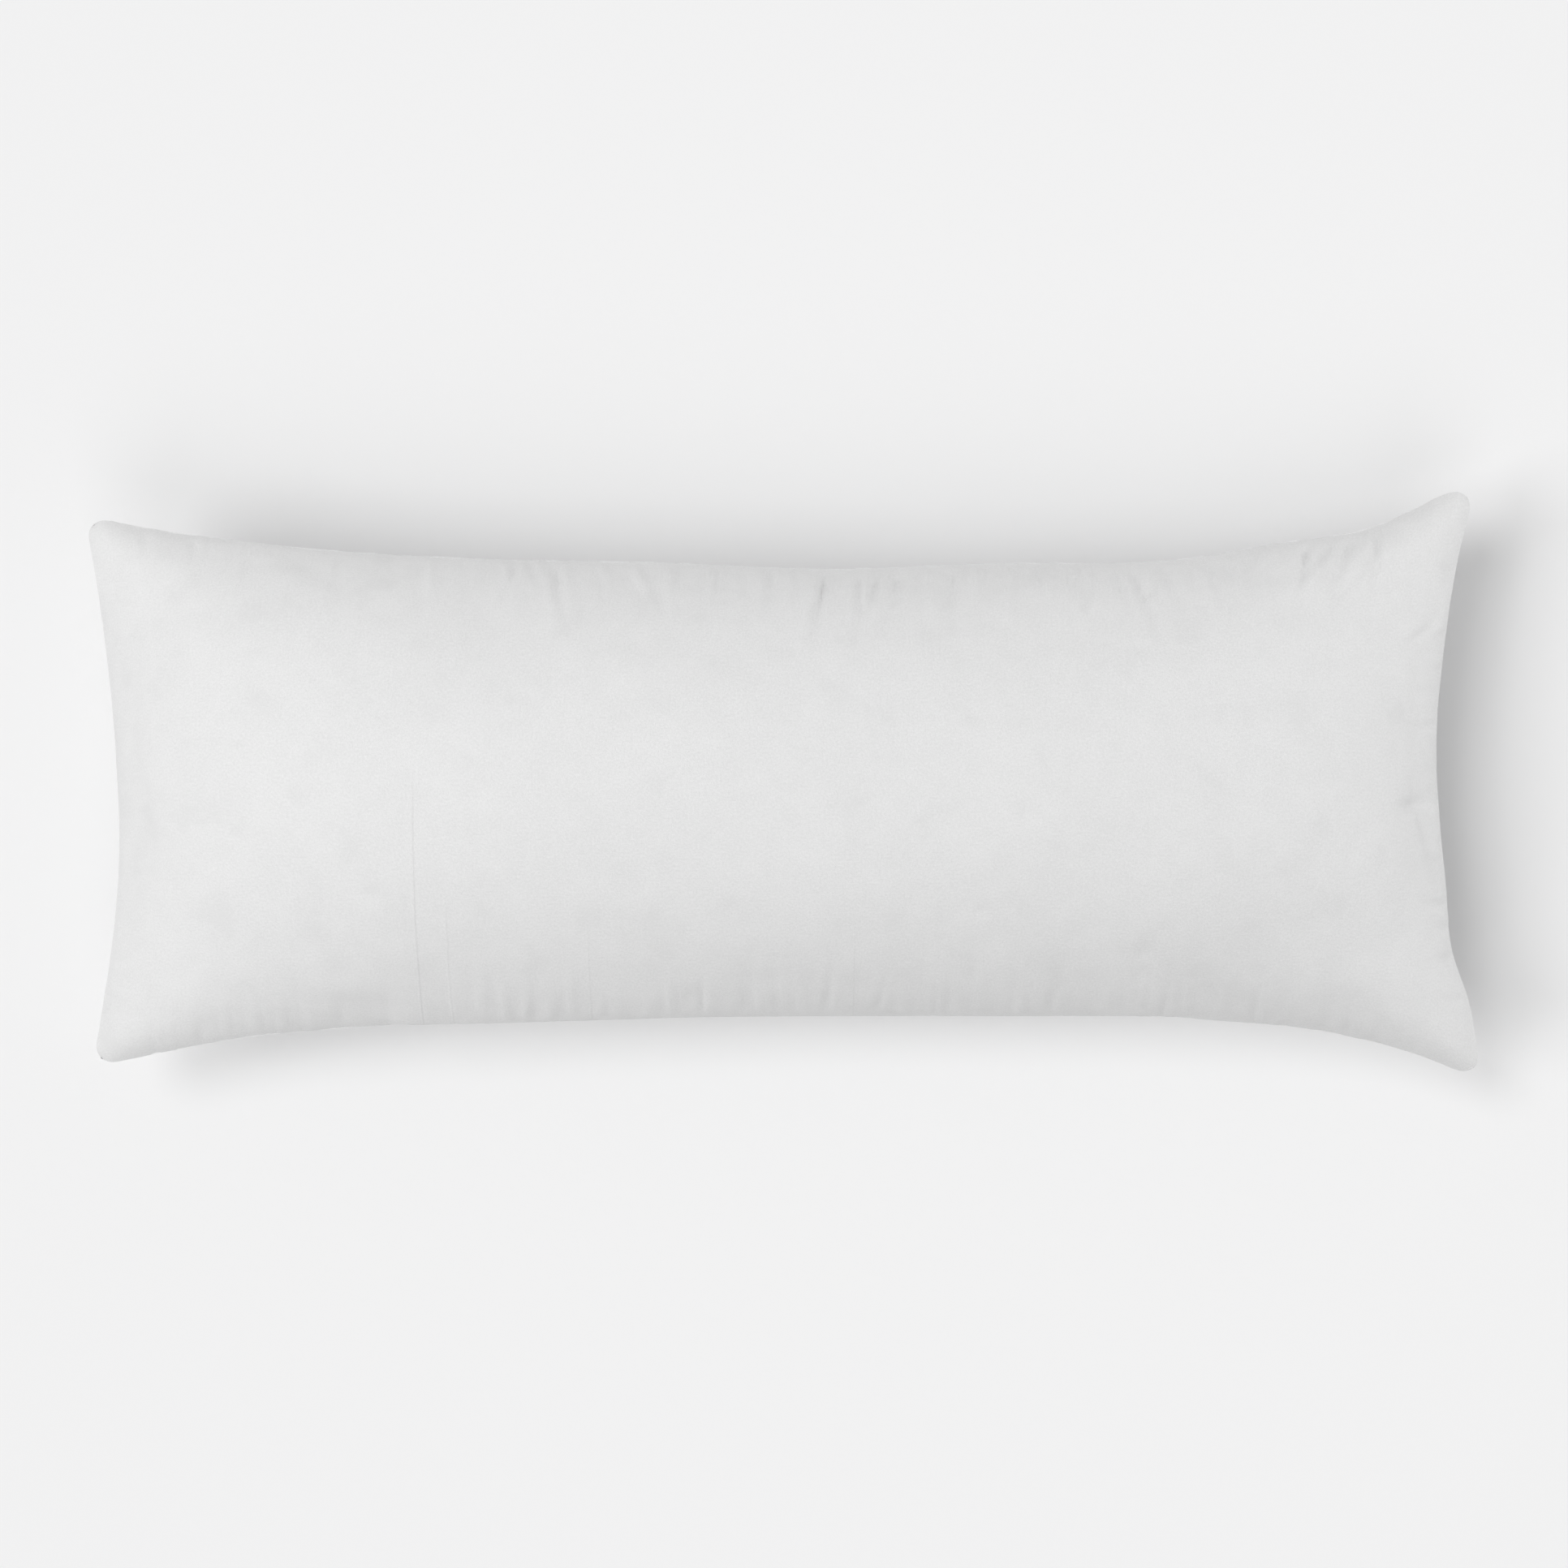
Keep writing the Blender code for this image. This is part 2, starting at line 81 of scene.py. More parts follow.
TICKING_CLOTH = 0.0008
INSERT_INSET = 0.0130        # ticking's seam inside the cover's, in plan
INSERT_DEPTH = 0.0030        # ticking below the cover's crown
FILL_INSET = 0.0165
FILL_DEPTH = 0.0048
FILLED_WIDTH = 0.42          # mean width between the long seams, which insets are shares of
UNDERSIDE_LIFT = 0.8         # how much of a depth the flat underside keeps
THREAD = 0.00035             # radius
SHARP_ANGLE = 60.0

# Simulated grid and the finer ones shown
SIM_CELL = 0.008
SIM_FRAMES = 33
SIM_CLOTH = {"quality": 6, "mass": 0.3, "air_damping": 1.0, "tension_stiffness": 40.0,
             "compression_stiffness": 20.0, "shear_stiffness": 10.0, "bending_stiffness": 0.1,
             "use_pressure": True, "uniform_pressure_force": 2.0}
SIM_START = 0.004            # height of the flat cut's middle before it fills
START_SLOPES = 6.0, 4.0      # how steeply that height rises from the ends and the sides
START_UNEVEN, UNEVEN_SIZE = 0.2, 0.05
SOFTENING = 4                # rounds of smoothing of the simulated folds
TOP_CELL = 0.003
BOTTOM_CELL = 0.0055
INSERT_CELL = 0.010

# Seam seen from above: the points that each bowed side between two ears needs (x, y)
UPPER_SIDE = ((-0.594, 0.2275), (-0.530, 0.2158), (-0.460, 0.2063), (-0.377, 0.1980),
              (-0.252, 0.1911), (-0.114, 0.1884), (0.051, 0.1829), (0.162, 0.1870),
              (0.355, 0.1932), (0.410, 0.2029), (0.507, 0.2208), (0.534, 0.2325),
              (0.562, 0.2463), (0.588, 0.2510))
LOWER_SIDE = ((-0.587, -0.2400), (-0.528, -0.2277), (-0.460, -0.2153), (-0.377, -0.2077),
              (-0.211, -0.2022), (-0.059, -0.1980), (0.162, -0.1967), (0.368, -0.2008),
              (0.465, -0.2111), (0.534, -0.2284), (0.592, -0.2510))
LEFT_SIDE = ((-0.587, -0.2400), (-0.579, -0.1891), (-0.570, -0.1270), (-0.565, -0.0580),
             (-0.567, 0.0110), (-0.580, 0.1421), (-0.594, 0.2275))
RIGHT_SIDE = ((0.592, -0.2510), (0.583, -0.1891), (0.567, -0.1373), (0.563, -0.0925),
              (0.5548, 0.0455), (0.561, 0.1145), (0.574, 0.1973), (0.588, 0.2510))

# Each side's points, the axis that it runs along, and the way inwards from it
SIDES = {"upper": (UPPER_SIDE, 0, (0.0, -1.0)), "lower": (LOWER_SIDE, 0, (0.0, 1.0)),
         "left": (LEFT_SIDE, 1, (1.0, 0.0)), "right": (RIGHT_SIDE, 1, (-1.0, 0.0))}

# Zip's flat band on the -Y side
ZIP_RUN_OUT = 0.030          # flat band past each end of the tapes
ZIP_FADE = 0.120             # over which it eases back into the plain seam
ZIP_FLAT = 0.010             # flat cloth either side of the lips
ZIP_BLEND = 0.012            # over which that cloth eases into the pillow's form
ZIP_REACH = 0.090            # how far across the panels the lips' drop is taken up
WALL_STARTS, WALL_RISE = 0.012, 0.010    # where the wall above the lips may bulge, from the seam
SECTION_REACH, SECTION_STEPS = 0.12, 241    # stretch of a section that is reworked at the zip
ROUNDING_REACH, ROUNDING_WIDTH = 20, 9.0    # steps over which the knife edge there is rounded
ROUNDING_FADE = 0.035
LIP_GAP = 0.0026
LIP_CLOSES = 0.004, 0.022    # where the lips close past the tapes' ends, and over what length
TAPE_BEHIND = 0.0020         # middle of the tapes behind the cover's outer face
BAND_BELOW, BAND_BLEND = 0.020, 0.010    # cloth below the lips and above them that stays smooth

# Thread and coil
STITCH = 0.0030              # pitch of a machine stitch
STITCH_STEPS = 6
STITCH_WAIST = 0.45          # radius between two stitches, as a share
SEAM_THREAD_INSET = 0.0012
STITCH_FROM_LIPS = 0.0083
STITCH_HALF = 0.42           # half of a visible zip stitch, as a share of the pitch
STITCH_FACES = ((0.00005, 0.00022), (-0.00275, -0.00022))    # (height over the cover, bulge)
COIL_PITCH = 0.0016
COIL_WIRE = 0.00032
COIL_STEPS = 10              # points in a turn
COIL_MIDDLE, COIL_HALF = (0.0020, -0.00345), (0.0011, 0.00085)    # (up the band, out of it)
LADDER_PITCH, LADDER_RUN, LADDER_RISE, LADDER_OUT = 0.0035, 0.0022, 0.0012, 0.0004

# Puckers drawn in by the seams: (side, from, to, spacing, reach, depth)
PUCKER_RUNS = (("upper", -0.560, -0.270, 0.036, 0.040, 0.0010),
               ("upper", -0.250, 0.020, 0.028, 0.050, 0.0018),
               ("upper", 0.025, 0.430, 0.023, 0.060, 0.0028),
               ("upper", 0.435, 0.520, 0.017, 0.060, 0.0030),
               ("lower", -0.540, -0.310, 0.034, 0.040, 0.0009),
               ("lower", -0.300, 0.110, 0.019, 0.046, 0.0012),
               ("lower", 0.130, 0.500, 0.023, 0.046, 0.0010),
               ("left", -0.200, 0.190, 0.036, 0.036, 0.0012),
               ("right", -0.200, 0.190, 0.032, 0.036, 0.0014))
PUCKER_WIDTH = (0.0045, 0.0080)
PUCKER_LENGTH = (0.6, 1.6)   # shares of the reach
PUCKER_GAP = (0.65, 1.4)     # shares of the spacing
PUCKER_SWELL = (-0.8, 1.0)   # below 0 it is a ridge
SWELL_LEAST = 0.45
PUCKER_FADE = 0.9            # share of its length over which a pucker runs out
LEAN, LEAN_MIDDLE, LEAN_PERIOD = 18.0, 0.08, 0.46    # how the upper seam's puckers fan
LEAN_SPREAD = 13.0
CREASE_STARTS = 0.20         # share of its length over which any fold sets in
SHOULDER = 1.5               # height of the ridges beside a fold

# Single folds: (start, end, bow, width, depth)
FOLDS = (((-0.311, 0.015), (-0.312, -0.203), 0.000, 0.0050, 0.00030),
         ((-0.290, 0.188), (-0.304, 0.121), 0.004, 0.0034, -0.00060),
         ((0.555, 0.142), (0.518, 0.114), 0.002, 0.0060, 0.00160),
         ((0.500, 0.205), (0.455, 0.150), 0.004, 0.0060, 0.00130),
         ((0.470, 0.205), (0.430, 0.165), -0.003, 0.0055, 0.00120),
         ((-0.228, 0.187), (-0.238, 0.150), 0.002, 0.0050, 0.00130),
         ((0.034, 0.181), (0.020, 0.135), 0.003, 0.0055, 0.00150),
         ((0.062, 0.181), (0.066, 0.138), -0.002, 0.0050, 0.00130),
         ((0.105, 0.183), (0.090, 0.146), 0.002, 0.0050, 0.00120),
         ((0.262, 0.188), (0.246, 0.140), 0.003, 0.0055, 0.00140),
         ((0.318, 0.190), (0.300, 0.150), 0.002, 0.0050, 0.00130))

# Sharp lines pressed across the cloth: (x, the y where it starts, waver, strength)
PRESSED = ((-0.3055, 0.020, 0.0003, 1.0), (-0.2800, -0.080, 0.0004, 0.6),
           (-0.1630, -0.100, 0.0004, 0.5), (0.0580, -0.110, 0.0004, 0.5))
PRESSED_WIDTH, PRESSED_DEPTH = 0.0014, 0.00045
PRESSED_FADE, WAVER_SCALE = 0.04, 25.0

# Dents pressed into the face: (x, y, half length, half width, turn in degrees, depth)
DENTS = ((-0.215, 0.121, 0.016, 0.010, 20, 0.0012), (0.532, -0.017, 0.018, 0.0065, 14, 0.0032),
         (-0.548, 0.045, 0.034, 0.009, 92, 0.0020), (-0.549, -0.066, 0.014, 0.007, 85, 0.0018),
         (0.552, 0.214, 0.022, 0.014, 50, -0.0014), (-0.120, -0.075, 0.030, 0.015, 10, 0.0006),
         (0.240, -0.060, 0.034, 0.016, 160, 0.0006))
DIMPLES = 70
DIMPLE_RANGES = ((-0.55, 0.55), (-0.18, 0.17), (0.006, 0.012), (-0.0008, 0.0020))    # x, y, size, depth
LUMP_SIZE, LUMP_HEIGHT, LUMP_FADE = 0.080, 0.0014, 0.05
LUMPS_BELOW = 0.3            # share of their height on the underside
WAVE_SIZE, WAVE_HEIGHT = 0.026, 0.00045
STREAK_WIDTH, STREAK_LENGTH, STREAK_REACH, STREAK_HEIGHT = 0.010, 0.090, 0.050, 0.0010
STREAK_SIDES = (("upper", 0.7), ("lower", 1.0))
STREAK_FADE, STREAK_LEAST = 1.5, 0.02
STREAK_LEAN, STREAK_LEAN_SIZE = 0.25, 0.06
LUMP_SEED, WAVE_SEED, STREAK_SEED, UNEVEN_SEED = 3.0, 11.0, 5.0, 7.0

# Cloth and metal: stretches of the yarn's and the brushing's noise, cotton's noises from grain to
# dark spots as (scale, detail, roughness), of which the broad ones and the spots are painted shade
# in the cotton's colour, and the tape's rib height and pitch
YARN, BRUSHING = ((90.0, 1600.0, 1.0), (1600.0, 90.0, 1.0)), (6000.0, 6000.0, 400.0)
COTTON_NOISES = ((1500.0, 3.0, 0.6), (520.0, 2.0, 0.6), (9.0, 3.0, 0.55), (48.0, 2.0, 0.5),
                 (24.0, 3.0, 0.6))
TWILL = 0.0015, 0.0007

# Camera, floor and light. The floor's suns are (name, lean in degrees from overhead towards
# -X and towards -Y, angular size, strength), the softboxes (name, place, size, watts).
CAMERA_HEIGHT = 3.239
LENS = 85.0
CLIP_END = 50.0
FLOOR_HALF, FLOOR_GAP = 6.0, 0.0005
FLOOR_SUNS = (("floor_key", 48.0, 7.0, 30.0, 1.08), ("floor_low", 4.0, 44.0, 40.0, 0.50),
              ("floor_near", 28.0, -15.0, 24.0, 0.70))
SOFTBOXES = (("softbox", (-1.00, 0.05, 3.00), 1.8, 40.5), ("right_fill", (1.75, 0.40, 1.20), 1.2, 11.0),
             ("left_fill", (-1.80, 0.05, 1.30), 1.2, 8.0))
SKY_STRENGTH = 0.47

rng = np.random.default_rng(48)


# ---- small tools ----
def placed(name, data):
    """A new object of the scene with this mesh, curve, lamp or camera."""
    thing = bpy.data.objects.new(name, data)
    bpy.context.scene.collection.objects.link(thing)
    return thing


def run_of(points):
    """Each point's distance from the first, along them."""
    steps = np.linalg.norm(np.diff(points, axis=0), axis=1)
    return np.concatenate(((0.0,), np.cumsum(steps)))


def smooth_step(share):
    """Ease from 0 to 1 with level ends."""
    share = np.clip(share, 0.0, 1.0)
    return share * share * (3.0 - 2.0 * share)


def blend(start, end, share):
    """Straight-line blend."""
    return start + (end - start) * share


def curve_at(points, axis, values):
    """The other coordinate of a smooth curve through points, where one has these values."""
    points = np.array(points)
    place, height = points[:, axis], points[:, 1 - axis]
    slopes = np.gradient(height, place)
    span = np.clip(np.searchsorted(place, values) - 1, 0, len(points) - 2)
    step = place[span + 1] - place[span]
    t = np.clip((values - place[span]) / step, 0.0, 1.0)
    return (height[span] * (1.0 + 2.0 * t) * (1.0 - t) ** 2
            + slopes[span] * step * t * (1.0 - t) ** 2
            + height[span + 1] * t * t * (3.0 - 2.0 * t)
            + slopes[span + 1] * step * t * t * (t - 1.0))


def resample(values, count, axis):
    """Catmull-Rom resampling of a grid to count + 1 places along one axis."""
    values = np.moveaxis(values, axis, 0)
    place = np.linspace(0.0, len(values) - 1.0, count + 1)
    span = np.minimum(place.astype(int), len(values) - 2)
    t = (place - span).reshape((-1,) + (1,) * (values.ndim - 1))
    before = values[np.maximum(span - 1, 0)]
    first, second = values[span], values[span + 1]
    after = values[np.minimum(span + 2, len(values) - 1)]
    made = first + 0.5 * t * (second - before + t * (
        2.0 * before - 5.0 * first + 4.0 * second - after
        + t * (3.0 * (first - second) + after - before)))
    return np.moveaxis(made, 0, axis)


def refine(grid, cell):
    """The grid at a finer or coarser pitch, with even counts."""
    for axis in (0, 1):
        count = 2 * round(CUT[axis] / cell / 2.0)
        grid = resample(grid, count, axis)
    return grid


def grid_normals(grid, side):
    """Unit normals of a grid, upwards for side 1 and downwards for side -1."""
    normals = np.cross(np.gradient(grid, axis=0), np.gradient(grid, axis=1))
    return side * normals / np.maximum(np.linalg.norm(normals, axis=2, keepdims=True), 1e-12)


def noise_field(grid, size, seed):
    """Smooth noise of about -1 to 1 over a grid's plan."""
    spread = np.empty(grid.shape[:2])
    for place in np.ndindex(spread.shape):
        x, y = grid[place][0] / size, grid[place][1] / size
        spread[place] = noise.noise(Vector((x, y, seed)))
    return spread


# ---- the pillow's form ----
def flat_cut():
    """Plan positions of the flat cut's grid, with rounded corners."""
    counts = [round(size / SIM_CELL) for size in CUT]
    axes = [np.linspace(-0.5 * size, 0.5 * size, count + 1) for size, count in zip(CUT, counts)]
    across = np.stack(np.meshgrid(*axes, indexing="ij"), axis=2)
    inner = 0.5 * np.array(CUT) - CUT_CORNER
    beyond = np.maximum(abs(across) - inner, 0.0)
    reach = np.maximum(np.linalg.norm(beyond, axis=2), 1e-9)
    rounding = (beyond.max(axis=2) / reach)[..., None]
    return np.sign(across) * (np.minimum(abs(across), inner) + beyond * rounding)


def closed_mesh(name, top, bottom):
    """A mesh of two grids that share their border. Returns it and each grid's vertex indices."""
    columns, rows = top.shape[:2]
    above = np.arange(columns * rows).reshape(columns, rows)
    below = above.copy()
    inner = np.arange((columns - 2) * (rows - 2)).reshape(columns - 2, rows - 2)
    below[1:-1, 1:-1] = columns * rows + inner
    verts = np.concatenate((top.reshape(-1, 3), bottom[1:-1, 1:-1].reshape(-1, 3)))
    mesh = bpy.data.meshes.new(name)
    mesh.from_pydata(verts.tolist(), [], grid_faces(above, 1) + grid_faces(below, -1))
    return mesh, above, below


def grid_faces(index, side):
    """Quads of a grid of vertex indices, facing up for side 1."""
    corners = [index[:-1, :-1], index[1:, :-1], index[1:, 1:], index[:-1, 1:]]
    return np.stack(corners[::side], axis=2).reshape(-1, 4).tolist()


def meshed(thing):
    """A new mesh of an object as its modifiers or bevel leave it."""
    graph = bpy.context.evaluated_depsgraph_get()
    return bpy.data.meshes.new_from_object(thing.evaluated_get(graph))


def inflate(plan):
    """The cut filled under pressure. Returns its upper and its lower grid."""
    u, v = (abs(plan[..., axis]) / (0.5 * CUT[axis]) for axis in (0, 1))
    to_end, to_side = (slope * (1.0 - share) for slope, share in zip(START_SLOPES, (u, v)))
    uneven = 1.0 + START_UNEVEN * noise_field(plan, UNEVEN_SIZE, UNEVEN_SEED)
    height = SIM_START * np.minimum(1.0, to_end) * np.minimum(1.0, to_side) * uneven
    for edge in (np.s_[0, :], np.s_[-1, :], np.s_[:, 0], np.s_[:, -1]):
        height[edge] = 0.0
    top = np.dstack((plan, height))
    bottom = np.dstack((plan, -height))
    mesh, above, below = closed_mesh("inflating", top, bottom)
    balloon = placed("inflating", mesh)
    cloth = balloon.modifiers.new("Cloth", "CLOTH")
    for name, value in SIM_CLOTH.items():
        setattr(cloth.settings, name, value)
    cloth.settings.effector_weights.gravity = 0.0
    cloth.collision_settings.use_collision = False
    cloth.collision_settings.use_self_collision = False
    cloth.point_cache.frame_start = 1
    cloth.point_cache.frame_end = SIM_FRAMES
    scene = bpy.context.scene
    for step in range(1, SIM_FRAMES + 1):
        scene.frame_set(step)
    filled = meshed(balloon)
    points = np.empty(len(filled.vertices) * 3, np.float32)
    filled.vertices.foreach_get("co", points)
    points = points.reshape(-1, 3).astype(float)
    bpy.data.objects.remove(balloon, do_unlink=True)
    bpy.data.meshes.remove(filled)
    bpy.data.meshes.remove(mesh)
    scene.frame_set(1)
    return points[above], points[below]


def outline_patch(plan):
    """The flat cut's plan drawn onto the seam's outline: a Coons patch over its four sides."""
    s, t = plan[..., 0] / CUT[0] + 0.5, plan[..., 1] / CUT[1] + 0.5
    low_left, low_right = np.array(LOWER_SIDE[0]), np.array(LOWER_SIDE[-1])
    up_left, up_right = np.array(UPPER_SIDE[0]), np.array(UPPER_SIDE[-1])
    x_low, x_up = blend(low_left[0], low_right[0], s), blend(up_left[0], up_right[0], s)
    y_left, y_right = blend(low_left[1], up_left[1], t), blend(low_right[1], up_right[1], t)
    lower = np.dstack((x_low, curve_at(LOWER_SIDE, 0, x_low)))
    upper = np.dstack((x_up, curve_at(UPPER_SIDE, 0, x_up)))
    left = np.dstack((curve_at(LEFT_SIDE, 1, y_left), y_left))
    right = np.dstack((curve_at(RIGHT_SIDE, 1, y_right), y_right))
    s, t = s[..., None], t[..., None]
    corners = blend(blend(low_left, low_right, s), blend(up_left, up_right, s), t)
    return blend(lower, upper, t) + blend(left, right, s) - corners


def blur(values, axis, width):
    """A grid or row smoothed along one axis by a bell of this width in cells, ends kept."""
    reach = int(2.5 * width)
    bell = np.exp(-(np.arange(-reach, reach + 1) / width) ** 2)
    pad = [(reach, reach) if k == axis else (0, 0) for k in range(values.ndim)]
    wide = np.pad(values, pad, mode="reflect", reflect_type="odd")
    bell /= bell.sum()
    return np.apply_along_axis(lambda line: np.convolve(line, bell, mode="valid"), axis, wide)


def fit_outline(top, bottom, plan):
    """Shift the filled cut in plan so that its seam follows the outline."""
    target = outline_patch(plan)
    shift = target - top[..., :2]
    lower, upper = (blur(shift[:, end], 0, SHIFT_BLUR)[:, None] for end in (0, -1))
    left, right = (blur(shift[end], 0, SHIFT_BLUR)[None] for end in (0, -1))
    s, t = (np.linspace(0.0, 1.0, count) for count in shift.shape[:2])
    s, t = s[:, None, None], t[None, :, None]
    corners = blend(blend(shift[0, 0], shift[-1, 0], s), blend(shift[0, -1], shift[-1, -1], s), t)
    move = blend(lower, upper, t) + blend(left, right, s) - corners
    for grid in (top, bottom):
        grid[..., :2] += move
    for axis in (0, 1):
        for end in (0, -1):
            border = [slice(None), slice(None)]
            border[axis] = slice(0, 1) if end == 0 else slice(-1, None)
            error = (target - top[..., :2])[tuple(border)]
            away = np.arange(plan.shape[axis]) * SIM_CELL
            fade = np.exp(-((away if end == 0 else away[::-1]) / SNAP_REACH) ** 2)
            fade = fade[:, None, None] if axis == 0 else fade[None, :, None]
            for grid in (top, bottom):
                grid[..., :2] += error * fade


def rest_on_bed(top, bottom):
    """Give the filled cut the pillow's section, with the simulated folds on it, and flatten the
    underside on the resting plane."""
    x, y = top[..., 0], top[..., 1]
    across = np.clip(2.0 * (y - y[:, :1]) / (y[:, -1:] - y[:, :1]) - 1.0, -1.0, 1.0)
    along = np.clip(2.0 * (x - x[:1]) / (x[-1:] - x[:1]) - 1.0, -1.0, 1.0)
    beyond = np.maximum(0.0, (abs(along) - PLATEAU) / (1.0 - PLATEAU))
    rise = np.sqrt(1.0 - across ** 2) * np.sqrt(np.maximum(0.0, 1.0 - beyond ** END_POWER))
    to_ends = smooth_step((abs(along) - END_STARTS) / END_BLEND)
    for grid, side in ((top, 1), (bottom, -1)):
        z = grid[..., 2]
        folds = FOLD_SHARE * (z - blend(blur(z, 0, FOLD_BLUR), blur(z, 1, FOLD_BLUR), to_ends))
        if side > 0:
            grid[..., 2] = SEAM_Z + (THICKNESS - SEAM_Z) * rise ** CROWN_POWER + folds
        else:
            sunk = SEAM_Z * (1.0 - FLATTENING * rise) + folds
            grid[..., 2] = 0.5 * (sunk + np.sqrt(sunk * sunk + RESTING_EASE ** 2))


def soften(grid):
    """Ease the sharpest folds of the filled cloth. Its border keeps its place across."""
    for _ in range(SOFTENING):
        for axis in (0, 1):
            pad = ((1, 1), (0, 0), (0, 0)) if axis == 0 else ((0, 0), (1, 1), (0, 0))
            wide = np.moveaxis(np.pad(grid, pad, mode="reflect", reflect_type="odd"), axis, 0)
            grid = np.moveaxis(0.25 * wide[:-2] + 0.5 * wide[1:-1] + 0.25 * wide[2:], 0, axis)
    return grid


def lump(grid, side):
    """Soft lumps of the filling, felt through every cloth layer."""
    height = LUMP_HEIGHT * noise_field(grid, LUMP_SIZE, LUMP_SEED * side)
    away = np.minimum.reduce([distance(grid, name) for name in SIDES])
    fade = smooth_step(away / LUMP_FADE) * (1.0 if side > 0 else LUMPS_BELOW)
    return grid + (height * fade)[..., None] * grid_normals(grid, side)


def distance(grid, name):
    """Distance in plan from one side of the outline, growing inwards."""
    side, axis, inwards = SIDES[name]
    return inwards[1 - axis] * (grid[..., 1 - axis] - curve_at(side, axis, grid[..., axis]))


# ---- zip band ----
def box_middle(node):
    """Middle of a CAD node's box."""
    low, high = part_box(node)
    return np.array((low + high) * 0.5)


def zip_line():
    """Middle of the zip's lips, and the unit vectors up its band and out of it."""
    upper, lower = box_middle("zipper_tape_upper"), box_middle("zipper_tape_lower")
    up = (upper - lower) / np.linalg.norm(upper - lower)
    out = np.array((0.0, -up[2], up[1]))
    return 0.5 * (upper + lower) + TAPE_BEHIND * out, up, out


LIPS, ZIP_UP, ZIP_OUT = zip_line()
ZIP_HALF = 0.5 * (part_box("zipper_tape_upper")[1].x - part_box("zipper_tape_upper")[0].x)
LIP_DROP = (SEAM_Z - LIPS[2]) / ZIP_UP[2]


def zip_share(x):
    """1 along the zip, easing to 0 beyond its ends."""
    beyond = abs(x - LIPS[0]) - ZIP_HALF - ZIP_RUN_OUT
    return 1.0 - smooth_step(beyond / ZIP_FADE)


def sample_section(place, section, wanted):
    """Points of a section at these places along it."""
    return np.stack([np.interp(wanted, place, section[:, axis]) for axis in range(3)], axis=1)


def open_for_zip(top, bottom):
    """Move the panels' edges on the -Y side down to the lips, onto the zip's flat band."""
    for i in range(len(top)):
        share = float(zip_share(top[i, 0, 0]))
        if share <= 0.0:
            continue
        section = np.vstack((top[i, ::-1], bottom[i, 1:]))
        place = run_of(section)
        place -= place[len(top[i]) - 1]
        fine = np.linspace(-SECTION_REACH, SECTION_REACH, SECTION_STEPS)
        section_fine = sample_section(place, section, fine)
        bell = np.exp(-(np.arange(-ROUNDING_REACH, ROUNDING_REACH + 1) / ROUNDING_WIDTH) ** 2)
        bell /= bell.sum()
        padded = np.pad(section_fine, ((ROUNDING_REACH, ROUNDING_REACH), (0, 0)), mode="edge")
        rounded = np.stack([np.convolve(line, bell, mode="valid") for line in padded.T], axis=1)
        lost = section[len(top[i]) - 1] - sample_section(fine, rounded, np.zeros(1))[0]
        near = (share * np.exp(-(fine / ROUNDING_FADE) ** 2))[:, None]
        section_fine = blend(section_fine, rounded + lost * near, near)
        drop = share * LIP_DROP
        past = abs(top[i, 0, 0] - LIPS[0]) - ZIP_HALF - LIP_CLOSES[0]
        half_gap = 0.5 * LIP_GAP * (1.0 - smooth_step(past / LIP_CLOSES[1]))
        for grid, side in ((top, -1.0), (bottom, 1.0)):
            from_seam = run_of(grid[i])
            taken = 1.0 - smooth_step(from_seam / ZIP_REACH)
            wanted = side * from_seam + (drop + side * half_gap) * taken
            moved = sample_section(fine, section_fine, wanted)
            off = abs(wanted - drop)
            flat = (share * (1.0 - smooth_step((off - ZIP_FLAT) / ZIP_BLEND)))[:, None]
            band = LIPS - ZIP_UP * (wanted - drop)[:, None]
            band[:, 0] = moved[:, 0]
            inside = from_seam < ZIP_REACH
            grid[i, inside] = blend(moved, band, flat)[inside]


def round_out_wall(top, bottom):
    """Push the -Y wall out or in until its widest line lies on the outline again."""
    for i in range(len(top)):
        share = float(zip_share(top[i, 0, 0]))
        if share <= 0.0:
            continue
        widest = int(top[i, :, 1].argmin())
        push = curve_at(LOWER_SIDE, 0, top[i, widest, 0]) - top[i, widest, 1]
        for grid, bulge in ((top, share), (bottom, 0.0)):
            from_seam = run_of(grid[i])
            run = max(from_seam[widest] - WALL_STARTS, WALL_RISE)
            rise = smooth_step((from_seam - WALL_STARTS) / run)
            taken = 1.0 - smooth_step((from_seam - from_seam[widest] * bulge) / ZIP_REACH)
            grid[i, :, 1] += push * (bulge * rise + 1.0 - share) * taken


# ---- surface features ----
def crease(grid, start, end, bow, width, depth, ends=0.3):
    """Depth field of one fold: a soft valley with raised shoulders along a bowed line."""
    start, end = np.array(start), np.array(end)
    length = np.linalg.norm(end - start)
    run = (end - start) / length
    offset = grid[..., :2] - start
    along = (offset @ run) / length
    across = offset @ np.array((-run[1], run[0])) - bow * 4.0 * along * (1.0 - along)
    c = across / width
    taper = smooth_step(along / CREASE_STARTS) * smooth_step((1.0 - along) / ends)
    return -depth * (1.0 - SHOULDER * c * c) * np.exp(-c * c) * taper


